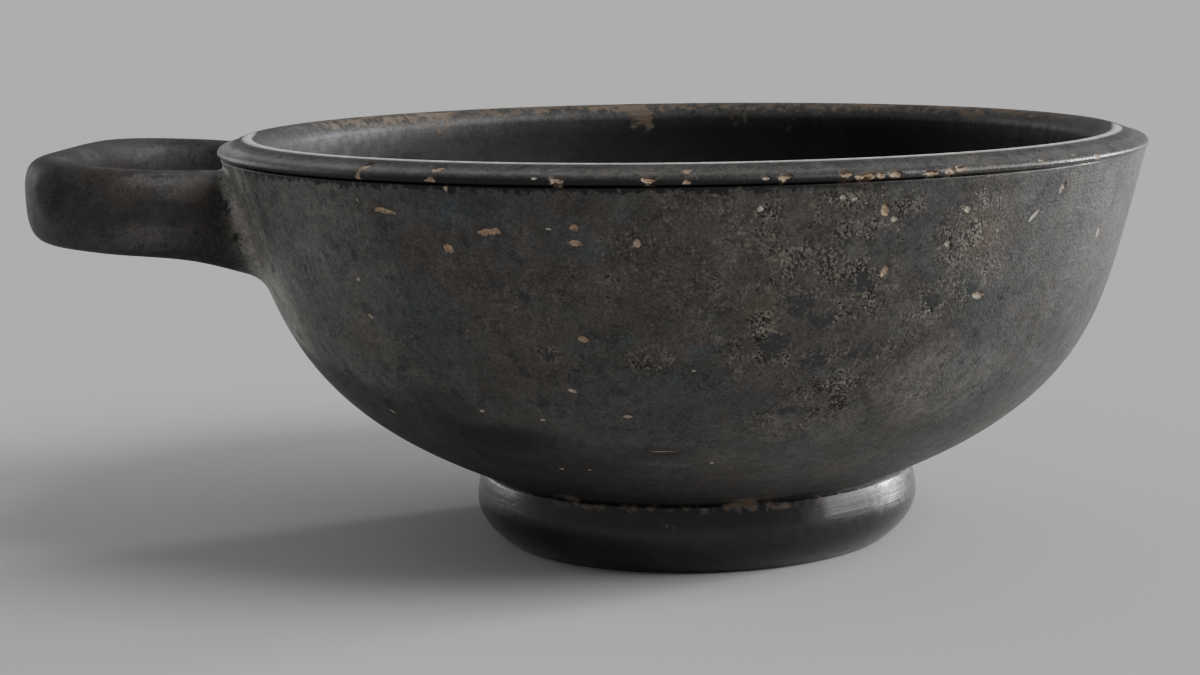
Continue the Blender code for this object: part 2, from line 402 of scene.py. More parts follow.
    def spun(self, outline: np.ndarray, steps: int) -> bmesh.types.BMesh:
        """Turns an outline into a closed solid.

        Args:
            outline: Points as (radius, height) rows, from axis to axis.
            steps: How many steps the full turn takes.

        Returns:
            The solid's mesh.
        """
        made = bmesh.new()
        verts = [made.verts.new((radius, 0.0, height)) for radius, height in outline]
        edges = [made.edges.new(pair) for pair in zip(verts, verts[1:])]
        bmesh.ops.spin(made, geom=verts + edges, cent=(0.0, 0.0, 0.0), axis=(0.0, 0.0, 1.0),
                       angle=math.tau, steps=steps, use_merge=True)
        bmesh.ops.remove_doubles(made, verts=made.verts, dist=WELD)
        bmesh.ops.recalc_face_normals(made, faces=made.faces)
        return made

    def make(self) -> bmesh.types.BMesh:
        """The turned body's mesh."""
        return self.spun(self.rings(), self.turn_steps)

    def make_core(self) -> bmesh.types.BMesh:
        """A solid of the hollow, grown to the middle of the wall, that trims the handle's ends.

        Returns:
            The solid's mesh.
        """
        middle = self.middle[::self.core_stride]
        above = self.height * self.core_rise
        outline = np.vstack([[0.0, above], [middle[-1, 0], above], middle[::-1], [0.0, middle[0, 1]]])
        return self.spun(outline, self.turn_steps // 2)

    def snapped(self, points: np.ndarray) -> np.ndarray:
        """Moves points that lie near the turned surface onto it.

        Args:
            points: Points, one a row.

        Returns:
            The nearest points of the true turned surface, each in its own upright plane.
        """
        radius = np.hypot(points[:, 0], points[:, 1])
        flat = np.stack([radius, points[:, 2]], axis=1)
        found = np.empty_like(flat)
        for start in range(0, len(flat), self.snap_rows):
            part = flat[start:start + self.snap_rows]
            distance = ((part[:, None, :] - self.line[None, :, :]) ** 2).sum(axis=2)
            near = np.clip(distance.argmin(axis=1), 1, len(self.line) - 2)
            before, after = self.line[near - 1], self.line[near + 1]
            along = after - before
            share = ((part - before) * along).sum(axis=1) / (along ** 2).sum(axis=1)
            found[start:start + self.snap_rows] = before + along * share[:, None]
        scale = found[:, 0] / np.maximum(radius, WELD)
        return np.stack([points[:, 0] * scale, points[:, 1] * scale, found[:, 1]], axis=1)


@dataclass
class LoopHandle:
    """The horizontal loop handle, which points to -X."""

    reach: float = 0.0238
    spread: float = 0.0516
    root_spread: float = 0.0246
    height: float = 0.0104
    thickness: float = 0.0069
    root_drop: float = 0.0032
    arch_drop: float = 0.0024
    tip_drop: float = 0.0015
    root_growth: float = 0.33
    root_widening: float = 0.04
    root_taper: float = 0.45
    root_length: float = 0.0105
    squareness: float = 4.5
    section_squareness: float = 3.0
    steps: int = 130
    section_steps: int = 44
    outline_steps: int = 1200

    def superellipse(self, angle: float, width: float, depth: float, squareness: float) -> Span:
        """A point of a round-cornered loop, across and along.

        Args:
            angle: The point's angle round the loop, from the way along it.
            width: Half the loop's width.
            depth: Half its length.
            squareness: 2 for an ellipse, and more for squarer corners.

        Returns:
            How far across and along it lies.
        """
        across, along = math.sin(angle), math.cos(angle)
        power = 2 / squareness
        return (math.copysign(abs(across) ** power, across) * width,
                math.copysign(abs(along) ** power, along) * depth)

    def outline(self, rim_radius: float) -> list[Vector]:
        """The finely stepped middle line of the loop from root to root, as (out, across) points.

        Args:
            rim_radius: The radius of the rim that it stands out from.

        Returns:
            The points.
        """
        tip = rim_radius + self.reach - self.thickness / 2
        outermost = max(self.spread, self.root_spread) / 2 + self.thickness
        root = math.sqrt(rim_radius ** 2 - outermost ** 2) - self.thickness
        widest = (tip + rim_radius) / 2
        waist = (self.spread - self.root_spread) / 2
        points = []
        for step in range(self.outline_steps + 1):
            angle = math.pi * step / self.outline_steps - math.pi / 2
            across, out = self.superellipse(angle, self.spread / 2, tip - root, self.squareness)
            out += root
            bend = max(widest - out, 0.0) / (widest - root)
            across -= math.copysign(waist * bend ** 2 * (3 - 2 * bend), across)
            points.append(Vector((out, across)))
        return points

    def frames(self, body: TurnedBody) -> list[Matrix]:
        """The place, turn and size of the arm's section at even steps along the loop.

        Args:
            body: The turned body that the handle joins.

        Returns:
            One matrix for each step.
        """
        outline = np.array([tuple(point) for point in self.outline(body.rim_radius)])
        walked = np.concatenate([[0.0], np.cumsum(np.linalg.norm(np.diff(outline, axis=0), axis=1))])
        even = np.linspace(0.0, walked[-1], self.steps + 1)
        places = np.stack([np.interp(even, walked, outline[:, axis]) for axis in range(2)], axis=1)
        ahead = np.gradient(places, axis=0)
        found = []
        for (out, across), (run, side), distance in zip(places, ahead, np.minimum(even, even[-1] - even)):
            free = max(distance - self.thickness, 0.0) / self.root_length
            deeper = 1 + self.root_growth * math.exp(-free ** 2)
            wider = 1 + self.root_widening * math.exp(-free ** 2)
            share = (out - body.rim_radius) / self.reach
            drop = (1 - share) ** 2 * self.root_drop + share ** 2 * self.tip_drop
            drop += 2 * share * (1 - share) * self.arch_drop
            forward = Vector((-run, side, 0.0)).normalized()
            sideways = Vector((0.0, 0.0, 1.0)).cross(forward)
            turn = Matrix((sideways, Vector((0.0, 0.0, 1.0)), forward)).transposed().to_4x4()
            place = Matrix.Translation((-out, across, body.height - drop - deeper * self.height / 2))
            found.append(place @ turn @ Matrix.Diagonal((wider, deeper, 1.0, 1.0)))
        return found

    def narrow_below(self, ring: list[bmesh.types.BMVert], place: Matrix) -> None:
        """Narrows the lower half of a ring, as far as the ring is deeper than the free arm.

        Args:
            ring: The ring's vertices.
            place: The ring's matrix.
        """
        growth = (place.col[1].to_3d().length - 1) / self.root_growth
        back = place.inverted()
        for vert in ring:
            local = back @ vert.co
            below = min(max(0.5 - local.y / self.height, 0.0), 1.0)
            local.x *= 1 - self.root_taper * growth * below ** 2
            vert.co = place @ local

    def make(self, body: TurnedBody) -> bmesh.types.BMesh:
        """The handle's mesh, with both ends closed inside the wall.

        Args:
            body: The turned body that the handle joins.

        Returns:
            The handle's mesh.
        """
        made = bmesh.new()
        frames = self.frames(body)
        ring = bmesh.ops.create_circle(made, cap_ends=False, segments=self.section_steps, radius=1.0)["verts"]
        for vert in ring:
            angle = math.atan2(vert.co.x, vert.co.y)
            across, up = self.superellipse(angle, self.thickness / 2, self.height / 2,
                                           self.section_squareness)
            vert.co = (across, up, 0.0)
        edges = list(made.edges)
        bmesh.ops.edgeloop_fill(made, edges=edges)
        bmesh.ops.transform(made, matrix=frames[0], verts=ring)
        rings = [ring]
        for before, after in zip(frames, frames[1:]):
            grown = bmesh.ops.extrude_edge_only(made, edges=edges)["geom"]
            edges = [part for part in grown if isinstance(part, bmesh.types.BMEdge)]
            verts = [part for part in grown if isinstance(part, bmesh.types.BMVert)]
            bmesh.ops.transform(made, matrix=after @ before.inverted(), verts=verts)
            rings.append(verts)
        bmesh.ops.edgeloop_fill(made, edges=edges)
        for verts, place in zip(rings, frames):
            self.narrow_below(verts, place)
        bmesh.ops.recalc_face_normals(made, faces=made.faces)
        return made


@dataclass
class Settling:
    """How the bowl settled while its clay was wet: the rim leans over the foot.

    The last shift puts the middle of the bowl's box at x = 0, as in the frame.
    """

    body: TurnedBody
    rim_shift: float = 0.0012
    rim_rise: float = 0.0015
    centring: float = 0.0

    def share(self, height: np.ndarray) -> np.ndarray:
        """How much of the lean a height takes, from 0 at the foot to 1 at the rim."""
        above = np.maximum(height - self.body.foot_height, 0.0)
        return above / (self.body.height - self.body.foot_height)

    def apply(self, points: np.ndarray) -> np.ndarray:
        """Moves points of the upright bowl to where they are on the settled one.

        Args:
            points: Points, one a row.

        Returns:
            The moved points.
        """
        share = self.share(points[:, 2])
        moved = points.copy()
        moved[:, 2] -= share * self.rim_rise / 2 * points[:, 0] / self.body.rim_radius
        moved[:, 0] += self.centring - share * self.rim_shift
        return moved

    def centre(self, points: np.ndarray) -> None:
        """Sets the last shift from the points of the whole upright bowl."""
        self.centring = 0.0
        reach = self.apply(points)[:, 0]
        self.centring = -(reach.min() + reach.max()) / 2


@dataclass(frozen=True)
class Chip:
    """A small break in the gloss that shows the clay, placed by its pixel in the photograph.

    Its length and width are in millimetres, and turn is its slope in degrees. Pale is 1 where
    a pale crust sits in it and 0 where it shows clean clay.
    """

    x: float
    y: float
    length: float
    width: float
    turn: float = 0.0
    depth: float = 0.22
    pale: float = 0.0


@dataclass(frozen=True)
class Patch:
    """A soft-edged area of one layer, placed by its pixel in the photograph.

    Its width and height are from its middle to its edge in millimetres, and turn is its slope
    in degrees.
    """

    layer: Layer
    x: float
    y: float
    width: float
    height: float
    strength: float = 1.0
    turn: float = 0.0


@dataclass
class Spot:
    """The place of a chip or a patch on the bowl's settled surface."""

    centre: Vector
    normal: Vector
    level: Vector
    rise: Vector

    @classmethod
    def at(cls, centre: Vector, normal: Vector) -> "Spot":
        """Works out the level and the rising direction of the surface at a point."""
        level = Vector((0.0, 0.0, 1.0)).cross(normal)
        level = level.normalized() if level.length > LEAST_LEVEL else Vector((1.0, 0.0, 0.0))
        return cls(centre, normal, level, normal.cross(level))

    def flat(self, points: np.ndarray) -> tuple[np.ndarray, np.ndarray, np.ndarray]:
        """Points as seen on the surface: along the level, up the surface and off it."""
        away = points - np.array(self.centre)
        return away @ np.array(self.level), away @ np.array(self.rise), away @ np.array(self.normal)

    def turned(self, points: np.ndarray, degrees: float) -> tuple[np.ndarray, np.ndarray, np.ndarray]:
        """Points as seen on the surface: along a slope, across the slope and off the surface.

        Args:
            points: Points, one a row.
            degrees: The slope, from the level.

        Returns:
            The three distances of each point.
        """
        level, rise, off = self.flat(points)
        turn = math.radians(degrees)
        along = level * math.cos(turn) + rise * math.sin(turn)
        across = rise * math.cos(turn) - level * math.sin(turn)
        return along, across, off


CHIPS: tuple[Chip, ...] = (
    # Breaks on the wall under the lip, from left to right
    Chip(383, 211, 4.4, 0.66, -9),
    Chip(489, 232, 3.0, 0.85, 7),
    Chip(448, 248, 1.3, 1.1, -20),
    Chip(575, 243, 1.8, 0.8, -16),
    Chip(574, 228, 1.1, 0.8, -38, 0.30),
    Chip(637, 243, 1.2, 0.75, 90, 0.15, 0.3),
    Chip(548, 229, 0.7, 0.3, 0, 0.08, 1.0),
    Chip(760, 209, 0.75, 0.75, 0, -0.10, 1.0),
    Chip(843, 197, 0.6, 0.55, 0, 0.10, 0.8),
    Chip(855, 199, 0.9, 0.5, 30, 0.10, 0.8),
    Chip(885, 209, 1.6, 0.95, 95, 0.20, 0.0),
    Chip(894, 219, 0.8, 0.7, 0, 0.12, 0.6),
    Chip(885, 271, 1.5, 0.75, 62, 0.25),
    Chip(948, 243, 0.95, 0.6, 90, 0.15, 0.8),
    Chip(968, 209, 0.9, 0.8, -40, 0.15, 0.5),
    Chip(978, 295, 1.7, 0.85, -6, 0.25, 0.3),
    Chip(1063, 187, 1.3, 0.8, 48, 0.18, 0.1),
    Chip(1035, 215, 2.4, 0.5, 40, 0.10, 0.9),
    Chip(1071, 165, 0.6, 0.5, 0, 0.10, 0.9),
    Chip(1098, 232, 1.7, 0.8, 75, 0.06, 0.2),
    Chip(357, 200, 1.1, 0.22, -65, 0.06, 0.9),
    Chip(358, 279, 0.5, 0.6, 0, 0.08, 0.9),
    # Breaks on the lower wall and the foot
    Chip(370, 316, 0.9, 0.5, -35, 0.12, 0.3),
    Chip(582, 339, 1.3, 0.7, -28, 0.20),
    Chip(392, 411, 1.0, 0.5, -38, 0.10, 0.7),
    Chip(482, 411, 0.75, 0.6, 0, 0.12, 0.4),
    Chip(572, 391, 1.1, 0.45, -32, 0.10, 0.6),
    Chip(543, 420, 0.7, 0.35, 0, 0.06, 0.9),
    Chip(628, 417, 1.1, 0.5, 0, 0.14, 0.4),
    Chip(694, 371, 0.6, 0.35, 0, 0.08, 0.8),
    Chip(662, 452, 4.4, 0.20, 1, 0.08, 0.5),
    Chip(562, 469, 0.8, 0.4, 0, 0.08, 0.8),
    Chip(590, 470, 0.55, 0.35, -20, 0.08, 0.8),
    Chip(712, 463, 0.5, 0.4, 0, 0.08, 0.9),
    Chip(787, 566, 1.1, 0.5, 0, 0.12, 0.3),
    # Breaks along the lip's lower edge and the groove
    Chip(357, 178, 0.9, 1.3, 10, 0.20, 0.1),
    Chip(430, 181, 1.4, 0.7, 0, 0.20, 0.1),
    Chip(445, 188, 0.6, 0.9, 0, 0.15, 0.2),
    Chip(534, 178, 0.6, 0.5, 0, 0.10, 0.8),
    Chip(555, 180, 1.7, 1.3, -30, 0.35, 0.3),
    Chip(649, 179, 1.8, 0.8, 0, 0.30),
    Chip(687, 183, 0.9, 0.6, 0, 0.20, 0.1),
    Chip(767, 178, 0.9, 0.6, 0, 0.20, 0.3),
    Chip(785, 177, 1.6, 0.9, 20, 0.30),
    Chip(846, 173, 1.7, 1.0, -15, 0.35),
    Chip(859, 177, 1.1, 0.8, 0, 0.25),
    Chip(869, 176, 1.8, 1.1, 10, 0.35),
    Chip(881, 175, 1.0, 0.8, 0, 0.25, 0.1),
    Chip(896, 174, 1.5, 0.9, 0, 0.30, 0.1),
    Chip(932, 173, 1.9, 0.8, 0, 0.30, 0.1),
    Chip(951, 171, 1.6, 1.0, 20, 0.30, 0.2),
    Chip(963, 168, 1.7, 0.8, 0, 0.25, 0.2),
    Chip(1041, 160, 0.9, 0.5, 0, 0.12, 0.1),
    Chip(1098, 156, 1.6, 0.7, 0, 0.15, 0.2),
)

PATCHES: tuple[Patch, ...] = (
    # Where the gloss has flaked to a lace of tan specks
    Patch(Layer.FLAKED, 762, 355, 6.0, 5.5, 1.0),
    Patch(Layer.FLAKED, 762, 318, 3.0, 2.6, 0.9),
    Patch(Layer.FLAKED, 800, 255, 8.0, 8.0, 0.75),
    Patch(Layer.FLAKED, 850, 290, 7.0, 7.0, 0.85),
    Patch(Layer.FLAKED, 830, 390, 8.0, 8.0, 0.75),
    Patch(Layer.FLAKED, 860, 215, 9.0, 5.0, 0.9),
    Patch(Layer.FLAKED, 905, 205, 5.0, 2.5, 0.9),
    Patch(Layer.FLAKED, 980, 208, 5.0, 3.0, 0.7),
    Patch(Layer.FLAKED, 985, 270, 5.0, 4.0, 0.7),
    Patch(Layer.FLAKED, 770, 230, 8.0, 5.0, 0.7),
    Patch(Layer.FLAKED, 780, 420, 9.0, 4.0, 0.5),
    Patch(Layer.FLAKED, 965, 240, 6.5, 5.5, 0.85),
    Patch(Layer.FLAKED, 940, 300, 6.0, 4.0, 0.8),
    Patch(Layer.FLAKED, 900, 340, 6.0, 5.0, 0.45),
    Patch(Layer.FLAKED, 650, 360, 4.5, 2.2, 0.8),
    Patch(Layer.FLAKED, 700, 210, 9.0, 6.0, 0.35),
    Patch(Layer.FLAKED, 640, 260, 12.0, 8.0, 0.35),
    Patch(Layer.FLAKED, 545, 352, 2.5, 2.0, 0.8),
    Patch(Layer.FLAKED, 720, 300, 8.0, 8.0, 0.4),
    Patch(Layer.FLAKED, 520, 280, 14.0, 10.0, 0.25),
    # Brown stain
    Patch(Layer.BROWN, 593, 212, 2.6, 2.4, 1.0),
    Patch(Layer.BROWN, 560, 205, 3.0, 2.5, 0.6),
    Patch(Layer.BROWN, 530, 235, 2.5, 4.0, 0.6),
    Patch(Layer.BROWN, 550, 270, 4.5, 2.4, 0.8, 12),
    Patch(Layer.BROWN, 640, 305, 9.0, 5.0, 0.7),
    Patch(Layer.BROWN, 530, 360, 6.0, 5.0, 0.6),
    Patch(Layer.BROWN, 672, 345, 4.5, 4.0, 0.8),
    Patch(Layer.BROWN, 760, 325, 5.0, 7.0, 0.8),
    Patch(Layer.BROWN, 975, 235, 6.0, 5.0, 1.0),
    Patch(Layer.BROWN, 720, 230, 14.0, 8.0, 0.6),
    Patch(Layer.BROWN, 600, 280, 14.0, 6.0, 0.5),
    Patch(Layer.BROWN, 480, 300, 10.0, 7.0, 0.5),
    Patch(Layer.BROWN, 445, 275, 5.0, 4.0, 0.6),
    Patch(Layer.BROWN, 365, 340, 4.0, 4.0, 0.7),
    Patch(Layer.BROWN, 465, 452, 3.0, 1.4, 1.0),
    Patch(Layer.BROWN, 95, 175, 4.0, 2.2, 0.8),
    Patch(Layer.BROWN, 195, 193, 3.6, 2.2, 1.0),
    Patch(Layer.BROWN, 130, 195, 5.0, 2.0, 0.6),
    Patch(Layer.BROWN, 215, 235, 5.0, 3.5, 0.5),
    Patch(Layer.BROWN, 690, 550, 3.5, 0.8, 0.9),
    Patch(Layer.BROWN, 756, 554, 2.4, 0.7, 0.9),
    Patch(Layer.BROWN, 440, 262, 12.0, 8.0, 0.55),
    Patch(Layer.BROWN, 330, 330, 8.0, 8.0, 0.4),
    Patch(Layer.BROWN, 800, 215, 12.0, 4.0, 0.5),
    # Blue film
    Patch(Layer.BLUE, 625, 342, 2.4, 1.4, 1.0),
    Patch(Layer.BLUE, 700, 352, 2.0, 2.0, 0.9),
    Patch(Layer.BLUE, 622, 214, 2.2, 1.4, 1.0),
    Patch(Layer.BLUE, 590, 252, 2.2, 3.4, 0.9),
    Patch(Layer.BLUE, 555, 240, 4.5, 3.0, 0.6),
    Patch(Layer.BLUE, 445, 210, 6.0, 5.0, 0.6),
    Patch(Layer.BLUE, 400, 325, 6.0, 3.5, 0.8),
    Patch(Layer.BLUE, 757, 400, 4.0, 3.0, 0.7),
    Patch(Layer.BLUE, 340, 260, 5.0, 5.0, 0.5),
    Patch(Layer.BLUE, 830, 375, 8.0, 4.0, 0.5),
    Patch(Layer.BLUE, 430, 318, 12.0, 6.0, 0.6, -14),
    Patch(Layer.BLUE, 650, 392, 14.0, 4.0, 0.5),
    Patch(Layer.BLUE, 470, 230, 12.0, 8.0, 0.35),
    Patch(Layer.BLUE, 1000, 330, 9.0, 9.0, 0.4),
    Patch(Layer.BLUE, 330, 230, 10.0, 10.0, 0.35),
    # Dark patches where the old gloss has held, and dark strokes
    Patch(Layer.DARK, 581, 205, 1.7, 0.6, 1.0, 80),
    Patch(Layer.DARK, 529, 374, 1.6, 0.8, 1.0, -20),
    Patch(Layer.DARK, 514, 357, 0.8, 0.9, 0.9),
    Patch(Layer.DARK, 550, 356, 0.8, 0.9, 0.9),
    Patch(Layer.DARK, 687, 379, 1.4, 0.8, 1.0, -25),
    Patch(Layer.DARK, 670, 369, 1.2, 0.5, 0.8),
    Patch(Layer.DARK, 617, 392, 2.2, 0.6, 0.9, -12),
    Patch(Layer.DARK, 776, 345, 2.2, 2.2, 1.0),
    Patch(Layer.DARK, 812, 360, 2.4, 1.6, 0.9),
    Patch(Layer.DARK, 854, 355, 2.0, 1.0, 1.0),
    Patch(Layer.DARK, 868, 348, 1.2, 1.2, 0.8),
    Patch(Layer.DARK, 803, 305, 2.2, 1.6, 0.9),
    Patch(Layer.DARK, 822, 322, 1.8, 1.4, 0.8),
    Patch(Layer.DARK, 860, 283, 2.2, 1.6, 0.8),
    Patch(Layer.DARK, 842, 243, 1.6, 1.4, 0.7),
    Patch(Layer.DARK, 932, 300, 1.5, 1.2, 1.0),
    Patch(Layer.DARK, 972, 288, 1.6, 1.0, 0.9),
    Patch(Layer.DARK, 954, 325, 1.4, 0.8, 0.6, 20),
    Patch(Layer.DARK, 790, 412, 2.0, 1.4, 0.7),
    Patch(Layer.DARK, 465, 243, 1.4, 1.0, 0.6),
    Patch(Layer.DARK, 512, 258, 1.0, 0.5, 0.6, -20),
    Patch(Layer.DARK, 538, 273, 1.4, 0.5, 0.7, -20),
    Patch(Layer.DARK, 520, 292, 0.8, 0.9, 0.8),
    Patch(Layer.DARK, 498, 283, 0.7, 0.7, 0.7),
    Patch(Layer.DARK, 574, 300, 1.8, 0.5, 0.6, 5),
    # Painted shade on the handle: its end, the middle of its near arm and the corner at its root
    Patch(Layer.DARK, 45, 186, 3.6, 4.0, 1.0),
    Patch(Layer.DARK, 160, 213, 4.0, 1.8, 0.9),
    Patch(Layer.DARK, 95, 222, 5.0, 2.0, 0.5),
    Patch(Layer.DARK, 222, 205, 1.4, 2.6, 0.6),
    # Painted shade on the handle's near arm and end, then smooth black gloss low on the left wall
    Patch(Layer.GLOSS_AND_SHADE, 160, 212, 8.0, 2.4, 0.72),
    Patch(Layer.GLOSS_AND_SHADE, 48, 190, 4.5, 5.0, 0.75),
    Patch(Layer.GLOSS_AND_SHADE, 440, 405, 9.0, 5.0, 0.45),
    Patch(Layer.GLOSS_AND_SHADE, 500, 440, 12.0, 5.0, 0.6),
    Patch(Layer.GLOSS_AND_SHADE, 620, 455, 14.0, 3.0, 0.4),
    # Grey film and painted light: painted highlights on the handle's top and left corner, painted light on
    # its underside and root, painted sheen on the left limb and the lower right wall, and a painted
    # reflection inside
    Patch(Layer.FILM_AND_SHEEN, 165, 176, 9.0, 1.6, 1.0),
    Patch(Layer.FILM_AND_SHEEN, 150, 240, 13.0, 2.6, 0.5),
    Patch(Layer.FILM_AND_SHEEN, 225, 235, 5.0, 5.0, 0.5),
    Patch(Layer.FILM_AND_SHEEN, 59, 158, 3.0, 2.2, 0.8),
    Patch(Layer.FILM_AND_SHEEN, 90, 155, 5.0, 3.0, 0.5),
    Patch(Layer.FILM_AND_SHEEN, 470, 130, 10.0, 8.0, 0.35),
    Patch(Layer.FILM_AND_SHEEN, 940, 385, 14.0, 9.0, 0.75),
    Patch(Layer.FILM_AND_SHEEN, 820, 425, 13.0, 7.0, 0.5),
    Patch(Layer.FILM_AND_SHEEN, 335, 250, 9.0, 12.0, 0.35),
    # Worn places on the far side of the lip and inside it
    Patch(Layer.WORN, 500, 106, 12.0, 2.2, 0.9),
    Patch(Layer.WORN, 590, 105, 12.0, 2.2, 1.0),
    Patch(Layer.WORN, 640, 112, 3.0, 3.6, 0.9),
    Patch(Layer.WORN, 700, 104, 12.0, 2.0, 0.8),
    Patch(Layer.WORN, 400, 116, 12.0, 2.0, 0.6),
    Patch(Layer.WORN, 315, 122, 4.0, 2.0, 0.6),
    Patch(Layer.WORN, 440, 125, 4.0, 3.0, 0.35),
    Patch(Layer.WORN, 974, 114, 3.6, 2.0, 0.8),
    Patch(Layer.WORN, 740, 120, 2.0, 2.0, 0.4),
    Patch(Layer.WORN, 790, 125, 1.6, 1.6, 0.5),
    # Worn places on the foot's upper edge and on its side
    Patch(Layer.WORN, 568, 498, 3.0, 0.6, 1.0),
    Patch(Layer.WORN, 750, 504, 5.0, 0.6, 1.0),
    Patch(Layer.WORN, 840, 493, 0.8, 0.5, 1.0),
    Patch(Layer.WORN, 670, 527, 1.2, 0.4, 0.8),
)


@dataclass(frozen=True)
class Scatter:
    """Small breaks on the sides that the photograph doesn't show.

    The angles run round the axis from +X, and lowest is a multiple of the foot's height.
    """

    count: int = 34
    seed: int = 11
    angles: Span = (15.0, 165.0)
    lowest: float = 1.3
    lengths: Span = (0.6, 2.2)
    shapes: Span = (0.4, 0.95)
    turns: Span = (-60.0, 60.0)
    depths: Span = (0.06, 0.25)


class Graph:
    """Short calls that add and link the nodes of one tree."""

    def __init__(self, tree: bpy.types.NodeTree) -> None:
        """Takes the tree of a material, a group or the world."""
        self.tree = tree

    def feed(self, socket: Socket, value: Feed) -> None:
        """Links a socket, or sets its own value.

        Args:
            socket: The socket.
            value: What goes into it: a socket, a value, or None for nothing.
        """
        if isinstance(value, bpy.types.NodeSocket):
            self.tree.links.new(value, socket)
        elif value is not None:
            socket.default_value = value

    def add(self, kind: str, inputs: Mapping[Union[str, int], Feed],
            **options: object) -> bpy.types.Node:
        """Adds a node.

        Args:
            kind: The node's type.
            inputs: What goes into its sockets, by name or number.
            **options: Its settings.

        Returns:
            The node.
        """
        node = self.tree.nodes.new(kind)
        for name, value in options.items():
            setattr(node, name, value)
        for name, value in inputs.items():
            self.feed(node.inputs[name], value)
        return node

    def math(self, operation: str, first: Feed, second: Feed = None, clamp: bool = False) -> Socket:
        """The result of a sum of one or two values."""
        node = self.add("ShaderNodeMath", {0: first, 1: second}, operation=operation, use_clamp=clamp)
        return node.outputs[0]

    def times(self, first: Feed, second: Feed, clamp: bool = False) -> Socket:
        """One value times another."""
        return self.math('MULTIPLY', first, second, clamp)

    def plus(self, first: Feed, second: Feed) -> Socket:
        """One value added to another."""
        return self.math('ADD', first, second)

    def minus(self, first: Feed, second: Feed, clamp: bool = False) -> Socket:
        """One value less another."""
        return self.math('SUBTRACT', first, second, clamp)

    def most(self, first: Feed, second: Feed) -> Socket:
        """The greater of two values."""
        return self.math('MAXIMUM', first, second)

    def vector(self, operation: str, inputs: Mapping[int, Feed]) -> Socket:
        """The result of a sum of vectors."""
        return self.add("ShaderNodeVectorMath", inputs, operation=operation).outputs[0]

    def mix(self, factor: Feed, first: Feed, second: Feed, mode: str = 'MIX') -> Socket:
        """A colour between two colours."""
        node = self.add("ShaderNodeMix", {0: factor, 6: first, 7: second},
                        data_type='RGBA', blend_type=mode, clamp_factor=True)
        return node.outputs[2]

    def between(self, factor: Feed, first: Feed, second: Feed) -> Socket:
        """A value between two values."""
        return self.add("ShaderNodeMix", {0: factor, 2: first, 3: second}, data_type='FLOAT').outputs[0]

    def ramp(self, value: Feed, low: Feed, high: Feed) -> Socket:
        """Runs smoothly from 0 at low to 1 at high."""
        return self.add("ShaderNodeMapRange", {0: value, 1: low, 2: high},
                        interpolation_type='SMOOTHSTEP').outputs[0]

    def layer(self, layer: Layer) -> Socket:
        """The strength of one of the mesh's layers."""
        return self.add("ShaderNodeAttribute", {}, attribute_name=layer.value).outputs["Fac"]

    def group(self, tree: bpy.types.NodeTree, **inputs: Feed) -> bpy.types.Node:
        """Places a node group, with its inputs named with underscores for spaces.

        Args:
            tree: The group's tree.
            **inputs: What goes into its sockets.

        Returns:
            The group's node.
        """
        node = self.tree.nodes.new("ShaderNodeGroup")
        node.node_tree = tree
        for name, value in inputs.items():
            self.feed(node.inputs[name.replace("_", " ")], value)
        return node


@dataclass(frozen=True)
class Port:
    """A named input or output of a node group."""

    name: str
    kind: str = "NodeSocketFloat"
    value: Union[float, tuple[float, ...], None] = None


def new_group(name: str, inputs: Iterable[Port],
              outputs: Iterable[Port]) -> tuple[Graph, bpy.types.Node, bpy.types.Node]:
    """Starts a shader node group.

    Args:
        name: The group's name.
        inputs: Its inputs, in order.
        outputs: Its outputs, in order.

    Returns:
        The group's graph, its input node and its output node.
    """
    tree = bpy.data.node_groups.new(name, 'ShaderNodeTree')
    for side, ports in (('INPUT', inputs), ('OUTPUT', outputs)):
        for port in ports:
            socket = tree.interface.new_socket(port.name, in_out=side, socket_type=port.kind)
            if port.value is not None:
                socket.default_value = port.value
    graph = Graph(tree)
    return graph, graph.add("NodeGroupInput", {}), graph.add("NodeGroupOutput", {})


def cloud_group() -> bpy.types.NodeTree:
    """A group that gives soft-edged clouds of a size, from 0 to 1.

    Returns:
        The group's tree.
    """
    graph, given, result = new_group(
        "Clouds",
        (Port("Vector", "NodeSocketVector"), Port("Size", value=5.0), Port("Detail", value=4.0),
         Port("Roughness", value=0.6), Port("Low", value=0.4), Port("High", value=0.6),
         Port("Offset", value=0.0)),
        (Port("Value"),))
    moved = graph.vector('ADD', {0: given.outputs["Vector"], 1: given.outputs["Offset"]})
    cloud = graph.add("ShaderNodeTexNoise", {
        "Vector": moved, "Scale": graph.math('DIVIDE', 1.0, given.outputs["Size"]),
        "Detail": given.outputs["Detail"], "Roughness": given.outputs["Roughness"]}).outputs[0]
    graph.feed(result.inputs["Value"], graph.ramp(cloud, given.outputs["Low"], given.outputs["High"]))
    return graph.tree


def streak_group() -> bpy.types.NodeTree:
    """A group that gives fine level streaks, as a turning tool and a cloth leave them.

    Returns:
        The group's tree.
    """
    graph, given, result = new_group(
        "Level streaks",
        (Port("Vector", "NodeSocketVector"), Port("Length", value=12.0), Port("Width", value=0.4),
         Port("Detail", value=3.0), Port("Roughness", value=0.6), Port("Low", value=0.4),
         Port("High", value=0.65)),
        (Port("Value"),))
    along = graph.math('DIVIDE', 1.0, given.outputs["Length"])
    across = graph.math('DIVIDE', 1.0, given.outputs["Width"])
    scale = graph.add("ShaderNodeCombineXYZ", {0: along, 1: along, 2: across}).outputs[0]
    squeezed = graph.vector('MULTIPLY', {0: given.outputs["Vector"], 1: scale})
    cloud = graph.add("ShaderNodeTexNoise", {
        "Vector": squeezed, "Scale": 1.0, "Detail": given.outputs["Detail"],
        "Roughness": given.outputs["Roughness"]}).outputs[0]
    graph.feed(result.inputs["Value"], graph.ramp(cloud, given.outputs["Low"], given.outputs["High"]))
    return graph.tree


